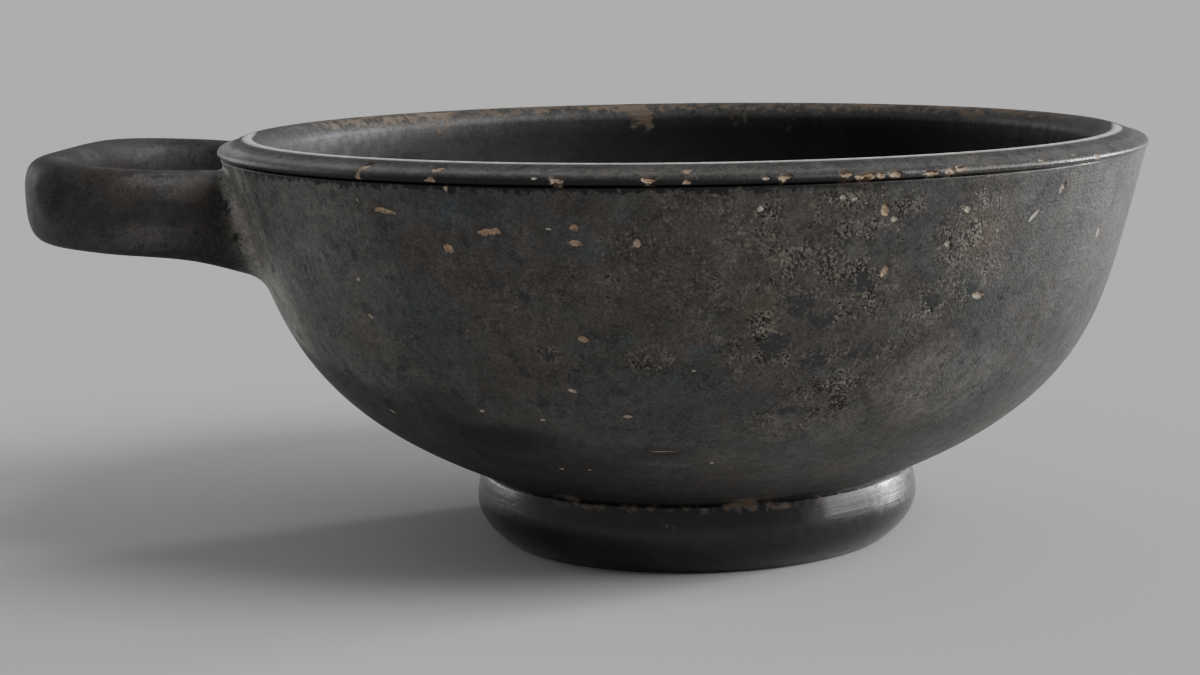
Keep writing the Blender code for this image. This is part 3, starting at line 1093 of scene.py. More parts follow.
@dataclass(frozen=True)
class PitShape:
    """The form of the pits, as shares of the size of a cell and of a pit's reach."""

    bend_scale: float = 1.3
    bend_detail: float = 2.0
    bend_reach: float = 1.5
    chance_edge: float = 0.08
    reach: Span = (0.16, 0.46)
    steep: float = 0.6
    rim_outer: float = 2.0
    rim_inner: float = 1.15


def pitting_group(shape: PitShape = PitShape()) -> bpy.types.NodeTree:
    """A group for pits of a size: the pits, and the pale rims that the burst gloss leaves round them.

    Args:
        shape: The form of the pits.

    Returns:
        The group's tree.
    """
    graph, given, result = new_group(
        "Pitting",
        (Port("Vector", "NodeSocketVector"), Port("Amount", value=0.5), Port("Cell", value=0.8)),
        (Port("Pits"), Port("Rims")))
    vector, amount, cell = (given.outputs[name] for name in ("Vector", "Amount", "Cell"))
    scale = graph.math('DIVIDE', 1.0, cell)
    bend = graph.add("ShaderNodeTexNoise", {"Vector": vector, "Scale": graph.times(scale, shape.bend_scale),
                                            "Detail": shape.bend_detail}).outputs["Color"]
    bend = graph.vector('SUBTRACT', {0: bend, 1: (0.5, 0.5, 0.5)})
    bend = graph.vector('SCALE', {0: bend, 3: graph.times(cell, shape.bend_reach)})
    bent = graph.vector('ADD', {0: vector, 1: bend})
    cells = graph.add("ShaderNodeTexVoronoi", {"Vector": bent, "Scale": scale}, feature='F1')
    chance = graph.add("ShaderNodeSeparateColor", {0: cells.outputs["Color"]})
    present = graph.ramp(chance.outputs[0], amount, graph.minus(amount, shape.chance_edge))
    reach = graph.between(chance.outputs[1], *shape.reach)
    away = cells.outputs["Distance"]
    pits = graph.ramp(away, reach, graph.times(reach, shape.steep))
    rims = graph.ramp(away, graph.times(reach, shape.rim_outer), graph.times(reach, shape.rim_inner))
    rims = graph.minus(rims, pits, clamp=True)
    graph.feed(result.inputs["Pits"], graph.times(pits, present))
    graph.feed(result.inputs["Rims"], graph.times(rims, present))
    return graph.tree


def clay_group() -> bpy.types.NodeTree:
    """A group for broken clay: its colour, and the height of its grit.

    Returns:
        The group's tree.
    """
    graph, given, result = new_group(
        "Broken clay",
        (Port("Vector", "NodeSocketVector"), Port("Light", "NodeSocketColor", (0.42, 0.27, 0.16, 1.0)),
         Port("Dark", "NodeSocketColor", (0.16, 0.09, 0.05, 1.0)), Port("Scale", value=3.2),
         Port("Detail", value=5.0), Port("Roughness", value=0.7), Port("Low", value=0.38),
         Port("High", value=0.60)),
        (Port("Color", "NodeSocketColor"), Port("Height")))
    grit = graph.add("ShaderNodeTexNoise", {
        name: given.outputs[name] for name in ("Vector", "Scale", "Detail", "Roughness")}).outputs[0]
    light = graph.ramp(grit, given.outputs["Low"], given.outputs["High"])
    graph.feed(result.inputs["Color"], graph.mix(light, given.outputs["Dark"], given.outputs["Light"]))
    graph.feed(result.inputs["Height"], grit)
    return graph.tree


@dataclass(frozen=True)
class Cloud:
    """Soft-edged clouds: their size in millimetres, and the noise values they run between."""

    size: float
    low: float
    high: float
    offset: float
    detail: float = 4.0
    roughness: float = 0.6


class Cover(Enum):
    """The clouds that break up the gloss and its layers."""

    BROAD = Cloud(22.0, 0.42, 0.58, 5.0, 3.0)
    VEIL = Cloud(9.0, 0.44, 0.60, 31.0, 5.0, 0.68)
    MIDDLING = Cloud(4.5, 0.36, 0.66, 19.0)
    SMALL = Cloud(1.5, 0.35, 0.68, 57.0)
    PATCHES = Cloud(3.0, 0.46, 0.56, 43.0, 5.0, 0.72)
    RAGGED = Cloud(1.0, 0.30, 0.70, 61.0, 5.0, 0.80)
    DARK_BLOTS = Cloud(3.4, 0.59, 0.64, 67.0, 5.0, 0.72)
    LIGHT_BLOTS = Cloud(5.0, 0.50, 0.62, 91.0, 5.0, 0.72)
    MOTTLE = Cloud(1.0, 0.32, 0.68, 23.0, 3.0, 0.7)
    GRAIN = Cloud(0.34, 0.32, 0.70, 83.0, 2.0)
    LACE = Cloud(0.36, 0.47, 0.57, 7.0, 1.5)
    CRUMBS = Cloud(0.45, 0.60, 0.68, 12.0, 2.0)


@dataclass(frozen=True)
class Break:
    """How a cloud breaks up a layer's soft edge: its swing, and the strength where that is full."""

    swing: float
    edge: float


@dataclass(frozen=True)
class GlossFinish:
    """The worn black gloss and all that shows through it, with painted highlights, sheen and shade. Sizes are
    in millimetres.

    A share says how strongly a tone covers what lies under it. A span is a low and a high value.
    """

    # Tones
    ground: Colour = (0.0435, 0.0430, 0.0428, 1.0)
    olive: Colour = (0.052, 0.0480, 0.043, 1.0)
    deep_black: Colour = (0.0035, 0.0035, 0.0042, 1.0)
    violet: Colour = (0.0150, 0.0110, 0.0120, 1.0)
    charcoal: Colour = (0.018, 0.0185, 0.020, 1.0)
    film: Colour = (0.074, 0.074, 0.071, 1.0)
    brown: Colour = (0.062, 0.046, 0.034, 1.0)
    blue: Colour = (0.044, 0.055, 0.062, 1.0)
    # Grey film, which also carries painted sheen on the flanks, the handle's top and the inside
    film_and_sheen_grey: Colour = (0.145, 0.139, 0.131, 1.0)
    # Painted sheen along the left limb
    painted_limb_sheen: Colour = (0.30, 0.285, 0.265, 1.0)
    tan: Colour = (0.165, 0.145, 0.118, 1.0)
    crumb: Colour = (0.24, 0.225, 0.195, 1.0)
    # Painted highlight: the near-white line along the lip's crest
    crest: Colour = (0.84, 0.83, 0.80, 1.0)
    worn: Colour = (0.165, 0.122, 0.088, 1.0)
    pale: Colour = (0.40, 0.37, 0.32, 1.0)
    pit: Colour = (0.007, 0.006, 0.006, 1.0)
    # Held old gloss, which on the handle is painted shade
    held_and_shade: Colour = (0.023, 0.0235, 0.026, 1.0)
    clay_light: Colour = (0.50, 0.375, 0.26, 1.0)
    clay_dark: Colour = (0.25, 0.17, 0.115, 1.0)
    # Painted shadow under a chip's upper edge
    painted_chip_shadow: Colour = (0.030, 0.020, 0.014, 1.0)
    # Shares of the tones
    violet_share: float = 0.8
    charcoal_share: float = 0.7
    film_share: float = 0.40
    veil_brown_share: float = 0.25
    brown_share: float = 0.95
    blue_share: float = 0.8
    film_and_sheen_share: float = 0.8
    painted_limb_sheen_share: float = 0.9
    tan_share: float = 0.50
    gloss_share: float = 0.94
    held_and_shade_share: float = 0.92
    lace_share: float = 0.92
    pit_share: float = 0.9
    # How black the painted shade under the lip is
    lip_shade_share: float = 0.97
    painted_chip_shadow_share: float = 0.85
    # Shares that swing with a cloud
    brown_span: Span = (0.5, 1.0)
    crumb_span: Span = (0.12, 0.85)
    rim_span: Span = (0.4, 0.85)
    crest_highlight_span: Span = (0.6, 0.95)
    worn_lines: Span = (0.55, 1.0)
    flaked_span: Span = (0.25, 1.2)
    pit_amount: Span = (0.04, 0.35)
    pit_cell: float = 0.62
    # Light and dark of the fine grain
    grain_swing: float = 0.75
    mottle_swing: float = 0.60
    middling_swing: float = 0.45
    lively_patches: float = 0.4
    lively_span: Span = (0.6, 1.5)
    # Where the layers start and end
    held_and_shade_break: Break = Break(2.0, 0.3)
    film_and_sheen_break: Break = Break(0.25, 0.3)
    edge_break: Break = Break(1.0, 0.25)
    held_and_shade_edge: Span = (0.42, 0.56)
    film_and_sheen_edge: Span = (0.0, 1.1)
    painted_limb_sheen_edge: Span = (1.0, 1.6)
    blue_edge: Span = (0.2, 1.2)
    worn_edge: Span = (0.25, 1.0)
    crest_highlight_edge: Span = (0.85, 0.25)
    lip_edge: Span = (2.4, 1.7)
    # Where the painted shade under the lip starts and ends, in millimetres below the crest
    lip_shade_start: Span = (0.80, 1.80)
    lip_shade_start_swing: float = 0.10
    lip_shade_end: Span = (2.95, 2.70)
    lip_shade_end_swing: float = 0.7
    chip_swing: float = 0.45
    chip_edge: Span = (0.0, 0.10)
    # Where the painted shadow lies in a chip: near its outline and high up in it
    chip_shadow_reach: Span = (0.50, 0.15)
    chip_shadow_top: Span = (-0.1, 0.6)
    gloss_start: float = 0.82
    # Roughness
    satin: float = 0.50
    polish: float = 0.31
    dull: float = 0.72
    matt: float = 0.8
    worn_rough: float = 0.85
    lip_rough: float = 0.30
    lip_shade_rough: float = 0.60
    clay_rough: float = 0.9
    rough_swing: float = 0.10
    coat: float = 0.3
    coat_rough: float = 0.14
    refraction: float = 1.42
    # Relief that is too fine for the mesh
    rim_rise: float = 0.4
    grain_rise: float = 0.35
    small_rise: float = 0.20
    line_rise: float = 0.14
    bump_strength: float = 0.75
    bump_depth: float = 0.00007


class GlossNodes:
    """The nodes of the worn gloss and of its painted light and shade: what covers what, and then its colour,
    roughness and height.
    """

    def __init__(self, finish: GlossFinish, tree: bpy.types.NodeTree) -> None:
        """Places the clouds and the layers, and works out from them what covers what.

        Args:
            finish: The tones and measures.
            tree: The material's empty tree.
        """
        self.finish = finish
        self.graph = graph = Graph(tree)
        place = graph.add("ShaderNodeTexCoord", {}).outputs["Object"]
        vector = graph.add("ShaderNodeMapping", {"Vector": place, "Scale": (1 / MM,) * 3}).outputs[0]
        clouds = cloud_group()
        self.clouds = {
            cover: graph.group(clouds, Vector=vector, Size=cover.value.size, Detail=cover.value.detail,
                               Roughness=cover.value.roughness, Low=cover.value.low,
                               High=cover.value.high, Offset=cover.value.offset).outputs[0]
            for cover in Cover}
        self.layers = layers = {layer: graph.layer(layer) for layer in Layer}

        # The painted shade under the lip: a black band below its outer edge, with a ragged lower edge, over
        # the gloss's own black.
        start = graph.plus(layers[Layer.DROP], self.swing(Cover.SMALL, finish.lip_shade_start_swing))
        end = graph.plus(layers[Layer.DROP], self.swing(Cover.RAGGED, finish.lip_shade_end_swing))
        end = graph.plus(end, self.swing(Cover.SMALL, finish.lip_shade_end_swing))
        band = graph.times(graph.ramp(start, *finish.lip_shade_start), graph.ramp(end, *finish.lip_shade_end))
        self.band = graph.times(band, layers[Layer.LIP_SHADE])
        # Held old gloss, which on the handle is painted shade.
        self.held_and_shade = graph.ramp(self.loosened(Layer.DARK, Cover.RAGGED, finish.held_and_shade_break), *finish.held_and_shade_edge)
        # Whole gloss, which on the handle's end and near arm is painted shade.
        self.whole = graph.ramp(layers[Layer.GLOSS_AND_SHADE], 0.0, finish.gloss_start)
        self.polished = graph.ramp(layers[Layer.GLOSS_AND_SHADE], finish.gloss_start, 1.0)
        self.open_ground = graph.minus(1.0, graph.most(self.whole, self.held_and_shade))

        flaked = graph.times(layers[Layer.FLAKED], graph.between(self.clouds[Cover.PATCHES],
                                                                 *finish.flaked_span), clamp=True)
        self.flaked = graph.times(flaked, self.open_ground)
        amount = graph.times(self.open_ground, graph.between(self.flaked, *finish.pit_amount))
        pitted = graph.group(pitting_group(), Vector=vector, Cell=finish.pit_cell, Amount=amount)
        self.pits, self.rims = pitted.outputs["Pits"], pitted.outputs["Rims"]
        self.eaten = graph.times(self.clouds[Cover.LACE], self.flaked)
        self.clay = graph.group(clay_group(), Vector=vector, Light=finish.clay_light, Dark=finish.clay_dark)
        self.lines = graph.group(streak_group(), Vector=vector).outputs[0]
        worn = graph.ramp(self.loosened(Layer.WORN, Cover.SMALL, finish.edge_break), *finish.worn_edge)
        self.worn = graph.times(worn, graph.between(self.lines, *finish.worn_lines))
        self.inward = graph.plus(layers[Layer.CHIP], self.swing(Cover.RAGGED, finish.chip_swing))
        self.bare = graph.ramp(self.inward, *finish.chip_edge)

    def swing(self, cover: Cover, reach: float) -> Socket:
        """A cloud made to swing evenly about zero."""
        return self.graph.times(self.graph.minus(self.clouds[cover], 0.5), reach)

    def loosened(self, layer: Layer, cover: Cover, broken: Break) -> Socket:
        """A layer whose soft edge is broken up by a cloud."""
        strength = self.layers[layer]
        share = self.graph.ramp(strength, 0.0, broken.edge)
        return self.graph.plus(strength, self.graph.times(self.swing(cover, broken.swing), share))

    def laid(self, under: Feed, tone: Feed, where: Feed, share: float) -> Socket:
        """A tone laid over a colour.

        Args:
            under: The colour under it.
            tone: The tone.
            where: Where it lies, from 0 to 1.
            share: How strongly it covers.

        Returns:
            The new colour.
        """
        return self.graph.mix(self.graph.times(where, share), under, tone)

    def lively(self, colour: Feed) -> Socket:
        """A colour made lighter and darker by the fine grain, most of all where it has flaked.

        Args:
            colour: The colour.

        Returns:
            The new colour.
        """
        graph, finish = self.graph, self.finish
        tone = graph.plus(self.swing(Cover.GRAIN, finish.grain_swing),
                          self.swing(Cover.MOTTLE, finish.mottle_swing))
        tone = graph.plus(tone, self.swing(Cover.MIDDLING, finish.middling_swing))
        patches = graph.times(self.clouds[Cover.PATCHES], finish.lively_patches)
        reach = graph.between(graph.most(self.flaked, patches), *finish.lively_span)
        return graph.mix(1.0, colour, graph.plus(graph.times(tone, reach), 1.0), 'MULTIPLY')

    def colour(self) -> Socket:
        """The colour, laid on from the ground up, with the painted highlights, sheen and shade among its
        layers.

        Returns:
            The colour's socket.
        """
        graph, finish, layers, clouds = self.graph, self.finish, self.layers, self.clouds
        colour = graph.mix(clouds[Cover.BROAD], finish.ground, finish.olive)
        # Grey film and painted sheen; past 1, along the left limb, the painted limb sheen.
        filmed_and_sheened = self.loosened(Layer.FILM_AND_SHEEN, Cover.VEIL, finish.film_and_sheen_break)
        colour = self.laid(colour, finish.film_and_sheen_grey, graph.ramp(filmed_and_sheened, *finish.film_and_sheen_edge), finish.film_and_sheen_share)
        colour = self.laid(colour, finish.painted_limb_sheen, graph.ramp(filmed_and_sheened, *finish.painted_limb_sheen_edge), finish.painted_limb_sheen_share)
        colour = self.laid(colour, finish.film, clouds[Cover.LIGHT_BLOTS], finish.film_share)
        colour = self.laid(colour, finish.charcoal, clouds[Cover.DARK_BLOTS], finish.charcoal_share)
        brown = graph.times(layers[Layer.BROWN], graph.between(clouds[Cover.VEIL], *finish.brown_span))
        brown = graph.most(graph.times(clouds[Cover.VEIL], finish.veil_brown_share),
                           graph.times(brown, finish.brown_share))
        colour = graph.mix(brown, colour, finish.brown)
        blue = graph.ramp(self.loosened(Layer.BLUE, Cover.SMALL, finish.edge_break), *finish.blue_edge)
        colour = self.laid(colour, finish.blue, blue, finish.blue_share)
        colour = self.laid(colour, finish.tan, self.flaked, finish.tan_share)
        colour = self.lively(colour)

        gloss = self.laid(finish.deep_black, finish.violet, clouds[Cover.VEIL], finish.violet_share)
        colour = self.laid(colour, gloss, self.whole, finish.gloss_share)
        # Held gloss, and the handle's painted shade.
        colour = self.laid(colour, finish.held_and_shade, self.held_and_shade, finish.held_and_shade_share)
        colour = self.laid(colour, finish.pit, self.eaten, finish.lace_share)
        crumbs = graph.times(self.open_ground, graph.between(self.flaked, *finish.crumb_span))
        colour = graph.mix(graph.times(clouds[Cover.CRUMBS], crumbs), colour, finish.crumb)
        rims = graph.times(self.rims, graph.between(self.flaked, *finish.rim_span))
        colour = graph.mix(rims, colour, finish.tan)
        colour = self.laid(colour, finish.pit, self.pits, finish.pit_share)
        colour = graph.mix(self.worn, colour, finish.worn)
        # A painted highlight along the lip's crest.
        crest = graph.times(graph.ramp(layers[Layer.CREST], *finish.crest_highlight_edge),
                            graph.between(clouds[Cover.SMALL], *finish.crest_highlight_span))
        colour = graph.mix(crest, colour, finish.crest)
        # Painted shade under the lip, over the gloss's own black.
        colour = self.laid(colour, finish.deep_black, self.band, finish.lip_shade_share)

        clay = graph.mix(layers[Layer.PALE], self.clay.outputs["Color"], finish.pale)
        colour = graph.mix(self.bare, colour, clay)
        # Painted shadow along the upper edge inside each chip.
        edge = graph.times(graph.ramp(self.inward, *finish.chip_shadow_reach),
                           graph.ramp(layers[Layer.RISE], *finish.chip_shadow_top))
        return self.laid(colour, finish.painted_chip_shadow, graph.times(edge, self.bare), finish.painted_chip_shadow_share)

    def roughness(self) -> Socket:
        """The roughness: satin, duller where the gloss is gone, and smoother on the lip and the foot.

        Returns:
            The roughness's socket.
        """
        graph, finish = self.graph, self.finish
        rough = graph.between(self.whole, finish.satin, finish.dull)
        rough = graph.between(self.polished, rough, finish.polish)
        rough = graph.plus(rough, self.swing(Cover.SMALL, finish.rough_swing))
        lip = graph.ramp(self.layers[Layer.DROP], *finish.lip_edge)
        for where, value in ((self.flaked, finish.matt), (self.worn, finish.worn_rough),
                             (lip, finish.lip_rough), (self.band, finish.lip_shade_rough),
                             (self.bare, finish.clay_rough)):
            rough = graph.between(where, rough, value)
        return rough

    def normal(self) -> Socket:
        """The normal, bent by the relief that is too fine for the mesh.

        Returns:
            The normal's socket.
        """
        graph, finish = self.graph, self.finish
        height = graph.minus(graph.times(self.rims, finish.rim_rise), graph.most(self.pits, self.eaten))
        grain = graph.times(self.clouds[Cover.GRAIN], finish.grain_rise)
        for part in (graph.times(grain, self.open_ground),
                     graph.times(self.clouds[Cover.SMALL], finish.small_rise),
                     graph.times(self.lines, finish.line_rise),
                     graph.times(self.clay.outputs["Height"], self.bare)):
            height = graph.plus(height, part)
        return graph.add("ShaderNodeBump", {"Strength": finish.bump_strength, "Distance": finish.bump_depth,
                                            "Height": height}).outputs[0]


def gloss_material(finish: GlossFinish) -> bpy.types.Material:
    """Makes the material of the worn gloss, with its painted highlights, sheen and shade.

    Args:
        finish: Its tones and measures.

    Returns:
        The material.
    """
    material = bpy.data.materials.new("worn_black_gloss_with_painted_light")
    material.use_nodes = True
    material.node_tree.nodes.clear()
    nodes = GlossNodes(finish, material.node_tree)
    shader = nodes.graph.add("ShaderNodeBsdfPrincipled", {
        "Base Color": nodes.colour(), "Roughness": nodes.roughness(), "Normal": nodes.normal(),
        "Coat Weight": nodes.graph.times(nodes.polished, finish.coat),
        "Coat Roughness": finish.coat_rough, "IOR": finish.refraction})
    output = nodes.graph.add("ShaderNodeOutputMaterial", {"Surface": shader.outputs[0]})
    output.is_active_output = True
    LOG.info("made the finish with %d nodes", len(material.node_tree.nodes))
    return material


@dataclass(frozen=True)
class Rise:
    """A share that runs smoothly from 0 at low to its strength at high. High may be less than low."""

    low: float
    high: float
    strength: float = 1.0

    def at(self, values: np.ndarray, base: float = 0.0) -> np.ndarray:
        """The share for each value, with low and high counted from a base."""
        return self.strength * smooth_step(values, base + self.low, base + self.high)


@dataclass(frozen=True)
class WearMap:
    """Where the gloss is whole, worn or filmed over, and where highlights, sheen and shade are painted on.

    Lengths are in metres. Angles are in degrees from the bowl's front, and grow towards its right.
    Left spans run over the angle towards the left, and back spans over the angle either way.
    """

    # Where the painted crest highlight ends towards the back
    crest_highlight_end: Rise = Rise(82.0, 100.0, 1.2)
    groove_lost: Rise = Rise(28.0, 60.0)
    groove_back: Rise = Rise(136.0, 172.0)
    # Where the painted shade under the lip is lost, towards the right and on the far left
    lip_shade_lost: Rise = Rise(12.0, 34.0)
    lip_shade_lost_left: Rise = Rise(50.0, 66.0, 0.6)
    foot: Rise = Rise(0.0006, -0.0004)
    low_wall: Rise = Rise(0.012, 0.001, 0.5)
    low_wall_right: Rise = Rise(-0.004, 0.018, 0.8)
    low_left: Rise = Rise(0.0185, 0.0150, 0.5)
    low_left_slope: float = 0.25
    low_left_reach: Rise = Rise(0.006, -0.012)
    handle: Rise = Rise(0.0008, 0.0045)
    handle_gloss: float = 0.38
    inside: Rise = Rise(-0.001, -0.003)
    inside_gloss: float = 0.62
    inside_right: Rise = Rise(-0.03, 0.01, 0.18)
    foot_edge_drop: float = 0.0006
    foot_edge_width: float = 0.00045
    foot_edge_reach: float = 0.0012
    foot_edge_wear: float = 0.5
    back: Rise = Rise(96.0, 118.0)
    far_lip_top: float = 0.0003
    far_lip_wear: float = 0.7
    # Grey film and painted sheen on the flanks, most along the left limb and faded at the back, and on the
    # lip's top
    film_and_sheen_right: Rise = Rise(38.0, 83.0, 0.5)
    film_and_sheen_left: Rise = Rise(16.0, 56.0, 0.9)
    film_and_sheen_far_left: Rise = Rise(54.0, 66.0, 0.7)
    film_and_sheen_back: Rise = Rise(96.0, 120.0, 0.7)
    lip_film_and_sheen: float = 0.6
    lip_film_and_sheen_left: Rise = Rise(0.0, 45.0, 0.35)


@dataclass(frozen=True)
class Breakage:
    """How every chip's outline and bed are made uneven, as shares of its size and depth."""

    seed_step: tuple[float, float, float] = (7.3, 3.1, 0.0)
    scale: float = 0.8
    fall: float = 0.6
    gain: float = 2.0
    rounds: int = 3
    ragged: float = 0.22
    side: Rise = Rise(-0.05, 0.40)
    bed: float = 0.5
    rise_limit: float = 2.0


@dataclass
class Bowl:
    """The whole bowl as one piece: it is turned, joined to its handle, worn and dressed."""

    camera: PhotoCamera
    body: TurnedBody = field(default_factory=TurnedBody)
    handle: LoopHandle = field(default_factory=LoopHandle)
    finish: GlossFinish = field(default_factory=GlossFinish)
    scatter: Scatter = field(default_factory=Scatter)
    wear: WearMap = field(default_factory=WearMap)
    breakage: Breakage = field(default_factory=Breakage)
    root_fillet: float = 0.0019
    top_fillet: float = 0.0007
    fillet_growth: float = 2.0
    seam_edge: float = 0.00055
    seam_weld: float = 0.00014
    seam_reach: float = 1.3
    relax_reach: float = 1.1
    relax_rounds: int = 14
    relax_pulls: int = 2
    least_way: float = 0.3
    edge_steps: int = 30
    refine_margins: tuple[float, ...] = (0.0016, 0.0008, 0.0004)
    flaked_rounds: int = 2
    flaked_floor: float = 0.35
    flaked_edge: float = 0.5
    chip_margin: float = 0.0009
    patch_depth: float = 0.8
    patch_bend: float = 0.35
    patch_core: float = 0.35
    handle_depths: float = 2.6
    wall_depths: float = 1.7
    wobble: float = 0.00007
    wobble_scale: float = 70.0
    wobble_squeeze: float = 1.6
    fill_below: float = 0.0006
    fill_above: float = 0.0003
    fill_round: float = 0.00007
    settling: Settling = field(init=False)

    def __post_init__(self) -> None:
        """Sets up the bowl's lean."""
        self.settling = Settling(self.body)

    def object_of(self, mesh: bmesh.types.BMesh, name: str) -> bpy.types.Object:
        """Puts a mesh in an object of its own in the scene.

        Args:
            mesh: The mesh, which is freed.
            name: The object's name.

        Returns:
            The object.
        """
        data = bpy.data.meshes.new(name)
        mesh.to_mesh(data)
        mesh.free()
        made = bpy.data.objects.new(name, data)
        bpy.context.scene.collection.objects.link(made)
        return made

    def combine(self, target: bpy.types.Object, cutter: bpy.types.Object, joining: Joining) -> None:
        """Cuts the target with the cutter or joins it to it, and removes the cutter.

        Args:
            target: The object that is changed.
            cutter: The other object.
            joining: Cut or join.
        """
        boolean = target.modifiers.new("combine", 'BOOLEAN')
        boolean.operation = joining.value
        boolean.object = cutter
        boolean.solver = 'EXACT'
        evaluated = target.evaluated_get(bpy.context.evaluated_depsgraph_get())
        mesh = bpy.data.meshes.new_from_object(evaluated)
        target.modifiers.clear()
        target.data = mesh
        bpy.data.objects.remove(cutter)

    def joined(self) -> bmesh.types.BMesh:
        """The turned body and the handle as one upright mesh, with the roots rounded in.

        Returns:
            The mesh.
        """
        body_mesh = self.body.make()
        handle_mesh = self.handle.make(self.body)
        body_tree = BVHTree.FromBMesh(body_mesh)
        handle_tree = BVHTree.FromBMesh(handle_mesh)
        bowl = self.object_of(body_mesh, "bowl_body")
        handle = self.object_of(handle_mesh, "bowl_handle")
        core = self.object_of(self.body.make_core(), "bowl_core")
        self.combine(handle, core, Joining.CUT)
        self.combine(bowl, handle, Joining.JOIN)
        mesh = bmesh.new()
        mesh.from_mesh(bowl.data)
        bpy.data.objects.remove(bowl)
        bmesh.ops.remove_doubles(mesh, verts=mesh.verts, dist=WELD)
        self.round_roots(mesh, body_tree, handle_tree)
        return mesh

    def fillet_at(self, height: float) -> float:
        """The reach of the rounding between handle and wall, less just under the lip."""
        share = (self.body.edge_height - height) / self.handle.height * self.fillet_growth
        share = min(max(share, 0.0), 1.0)
        return self.top_fillet + (self.root_fillet - self.top_fillet) * share

    def blended(self, place: Vector, body_tree: BVHTree, handle_tree: BVHTree) -> tuple[float, Vector]:
        """How far a point is outside the smoothly joined body and handle.

        Args:
            place: The point.
            body_tree: The turned body's surface.
            handle_tree: The handle's surface.

        Returns:
            The distance and the way out.
        """
        found = []
        for tree in (body_tree, handle_tree):
            near, normal, _, _ = tree.find_nearest(place)
            away = place - near
            distance = math.copysign(away.length, away.dot(normal))
            way = away.normalized() * math.copysign(1.0, distance) if away.length > TOUCHING else normal
            found.append((distance, way))
        (first, first_way), (second, second_way) = found
        reach = self.fillet_at(place.z)
        share = min(max(0.5 + 0.5 * (second - first) / reach, 0.0), 1.0)
        distance = second + (first - second) * share - reach * share * (1 - share)
        way = first_way * share + second_way * (1 - share)
        return distance, way

    def round_roots(self, mesh: bmesh.types.BMesh, body_tree: BVHTree, handle_tree: BVHTree) -> None:
        """Fills the sharp corner between handle and wall with a smooth fillet.

        Args:
            mesh: The joined mesh, changed in place.
            body_tree: The turned body's surface.
            handle_tree: The handle's surface.
        """
        def near_seam(vert: bmesh.types.BMVert, reach: float) -> bool:
            """True if a vertex lies within reach of both surfaces.

            Args:
                vert: The vertex.
                reach: How far away both surfaces may be.

            Returns:
                True or false.
            """
            if vert.co.x > -self.body.neck_radius or vert.co.z < self.body.height / 2:
                return False
            if math.hypot(vert.co.x, vert.co.y) < self.body.middle_radius(vert.co.z):
                return False
            return all(tree.find_nearest(vert.co)[3] < reach for tree in (body_tree, handle_tree))

        outer = [vert for vert in mesh.verts if near_seam(vert, self.root_fillet * self.seam_reach)]
        for _ in range(2):
            chosen = set(outer)
            edges = [edge for edge in mesh.edges if edge.calc_length() > self.seam_edge
                     and edge.verts[0] in chosen and edge.verts[1] in chosen]
            bmesh.ops.subdivide_edges(mesh, edges=edges, cuts=1, use_grid_fill=True)
            outer = [vert for vert in mesh.verts if near_seam(vert, self.root_fillet * self.seam_reach)]
        faces = {face for vert in outer for face in vert.link_faces}
        bmesh.ops.triangulate(mesh, faces=list(faces))
        bmesh.ops.remove_doubles(mesh, verts=outer, dist=self.seam_weld)
        outer = [vert for vert in mesh.verts if near_seam(vert, self.root_fillet * self.relax_reach)]
        for _ in range(self.relax_rounds):
            bmesh.ops.smooth_vert(mesh, verts=outer, factor=0.5, use_axis_x=True, use_axis_y=True,
                                  use_axis_z=True)
            for vert in outer:
                for _ in range(self.relax_pulls):
                    distance, way = self.blended(vert.co, body_tree, handle_tree)
                    vert.co -= way * (distance / max(way.length_squared, self.least_way))
        LOG.info("rounded the handle's roots over %d points", len(outer))

    def photo_spot(self, tree: BVHTree, x: float, y: float) -> Spot:
        """The spot of the settled surface that a pixel of the photograph shows.

        Args:
            tree: The settled bowl's surface.
            x: Pixels from the picture's left edge.
            y: Pixels from its top edge.

        Returns:
            The spot. A pixel just off the bowl's edge gets the nearest point of the edge.
        """
        eye, sight = self.camera.ray(x, y)
        place, normal, _, _ = tree.ray_cast(eye, sight)
        if place is None:
            steps = range(-self.edge_steps, self.edge_steps + 1)
            along = [eye + sight * (eye.length + step * self.body.wall) for step in steps]
            nearest = min((tree.find_nearest(point) for point in along), key=lambda near: near[3])
            place, normal = nearest[:2]
        return Spot.at(place, normal)

    def scattered(self, tree: BVHTree) -> list[tuple[Spot, Chip]]:
        """Small breaks on the sides and the back of the wall.

        Args:
            tree: The settled bowl's surface.

        Returns:
            The chips and their places.
        """
        dice = random.Random(self.scatter.seed)
        found = []
        while len(found) < self.scatter.count:
            angle = math.radians(dice.uniform(*self.scatter.angles))
            height = dice.uniform(self.body.foot_height * self.scatter.lowest, self.body.wall_top)
            start = Vector((math.cos(angle), math.sin(angle), 0.0)) * self.body.rim_radius * 2
            start.z = height
            place, normal, _, _ = tree.ray_cast(start, Vector((-start.x, -start.y, 0.0)).normalized())
            length = dice.uniform(*self.scatter.lengths)
            width = length * dice.uniform(*self.scatter.shapes)
            turn = dice.uniform(*self.scatter.turns)
            depth = dice.uniform(*self.scatter.depths)
            pale = dice.random() ** 2
            if place is not None and math.hypot(place.x, place.y) > self.body.neck_radius:
                found.append((Spot.at(place, normal), Chip(0, 0, length, width, turn, depth, pale)))
        return found

    def chip_shape(self, spot: Spot, chip: Chip, points: np.ndarray, grown: float) -> np.ndarray:
        """How far points lie from a chip's middle: 1 is its outline.

        Args:
            spot: The chip's place.
            chip: The chip.
            points: Points of the settled bowl, one a row.
            grown: How far outside the chip its outline is taken.

        Returns:
            The distance as a share, and a large number off the chip's side of the wall.
        """
        along, across, off = spot.turned(points, chip.turn)
        share = np.hypot(along / (chip.length * MM / 2 + grown), across / (chip.width * MM / 2 + grown))
        return np.where(np.abs(off) < self.body.wall / 2, share, FAR_SHARE)

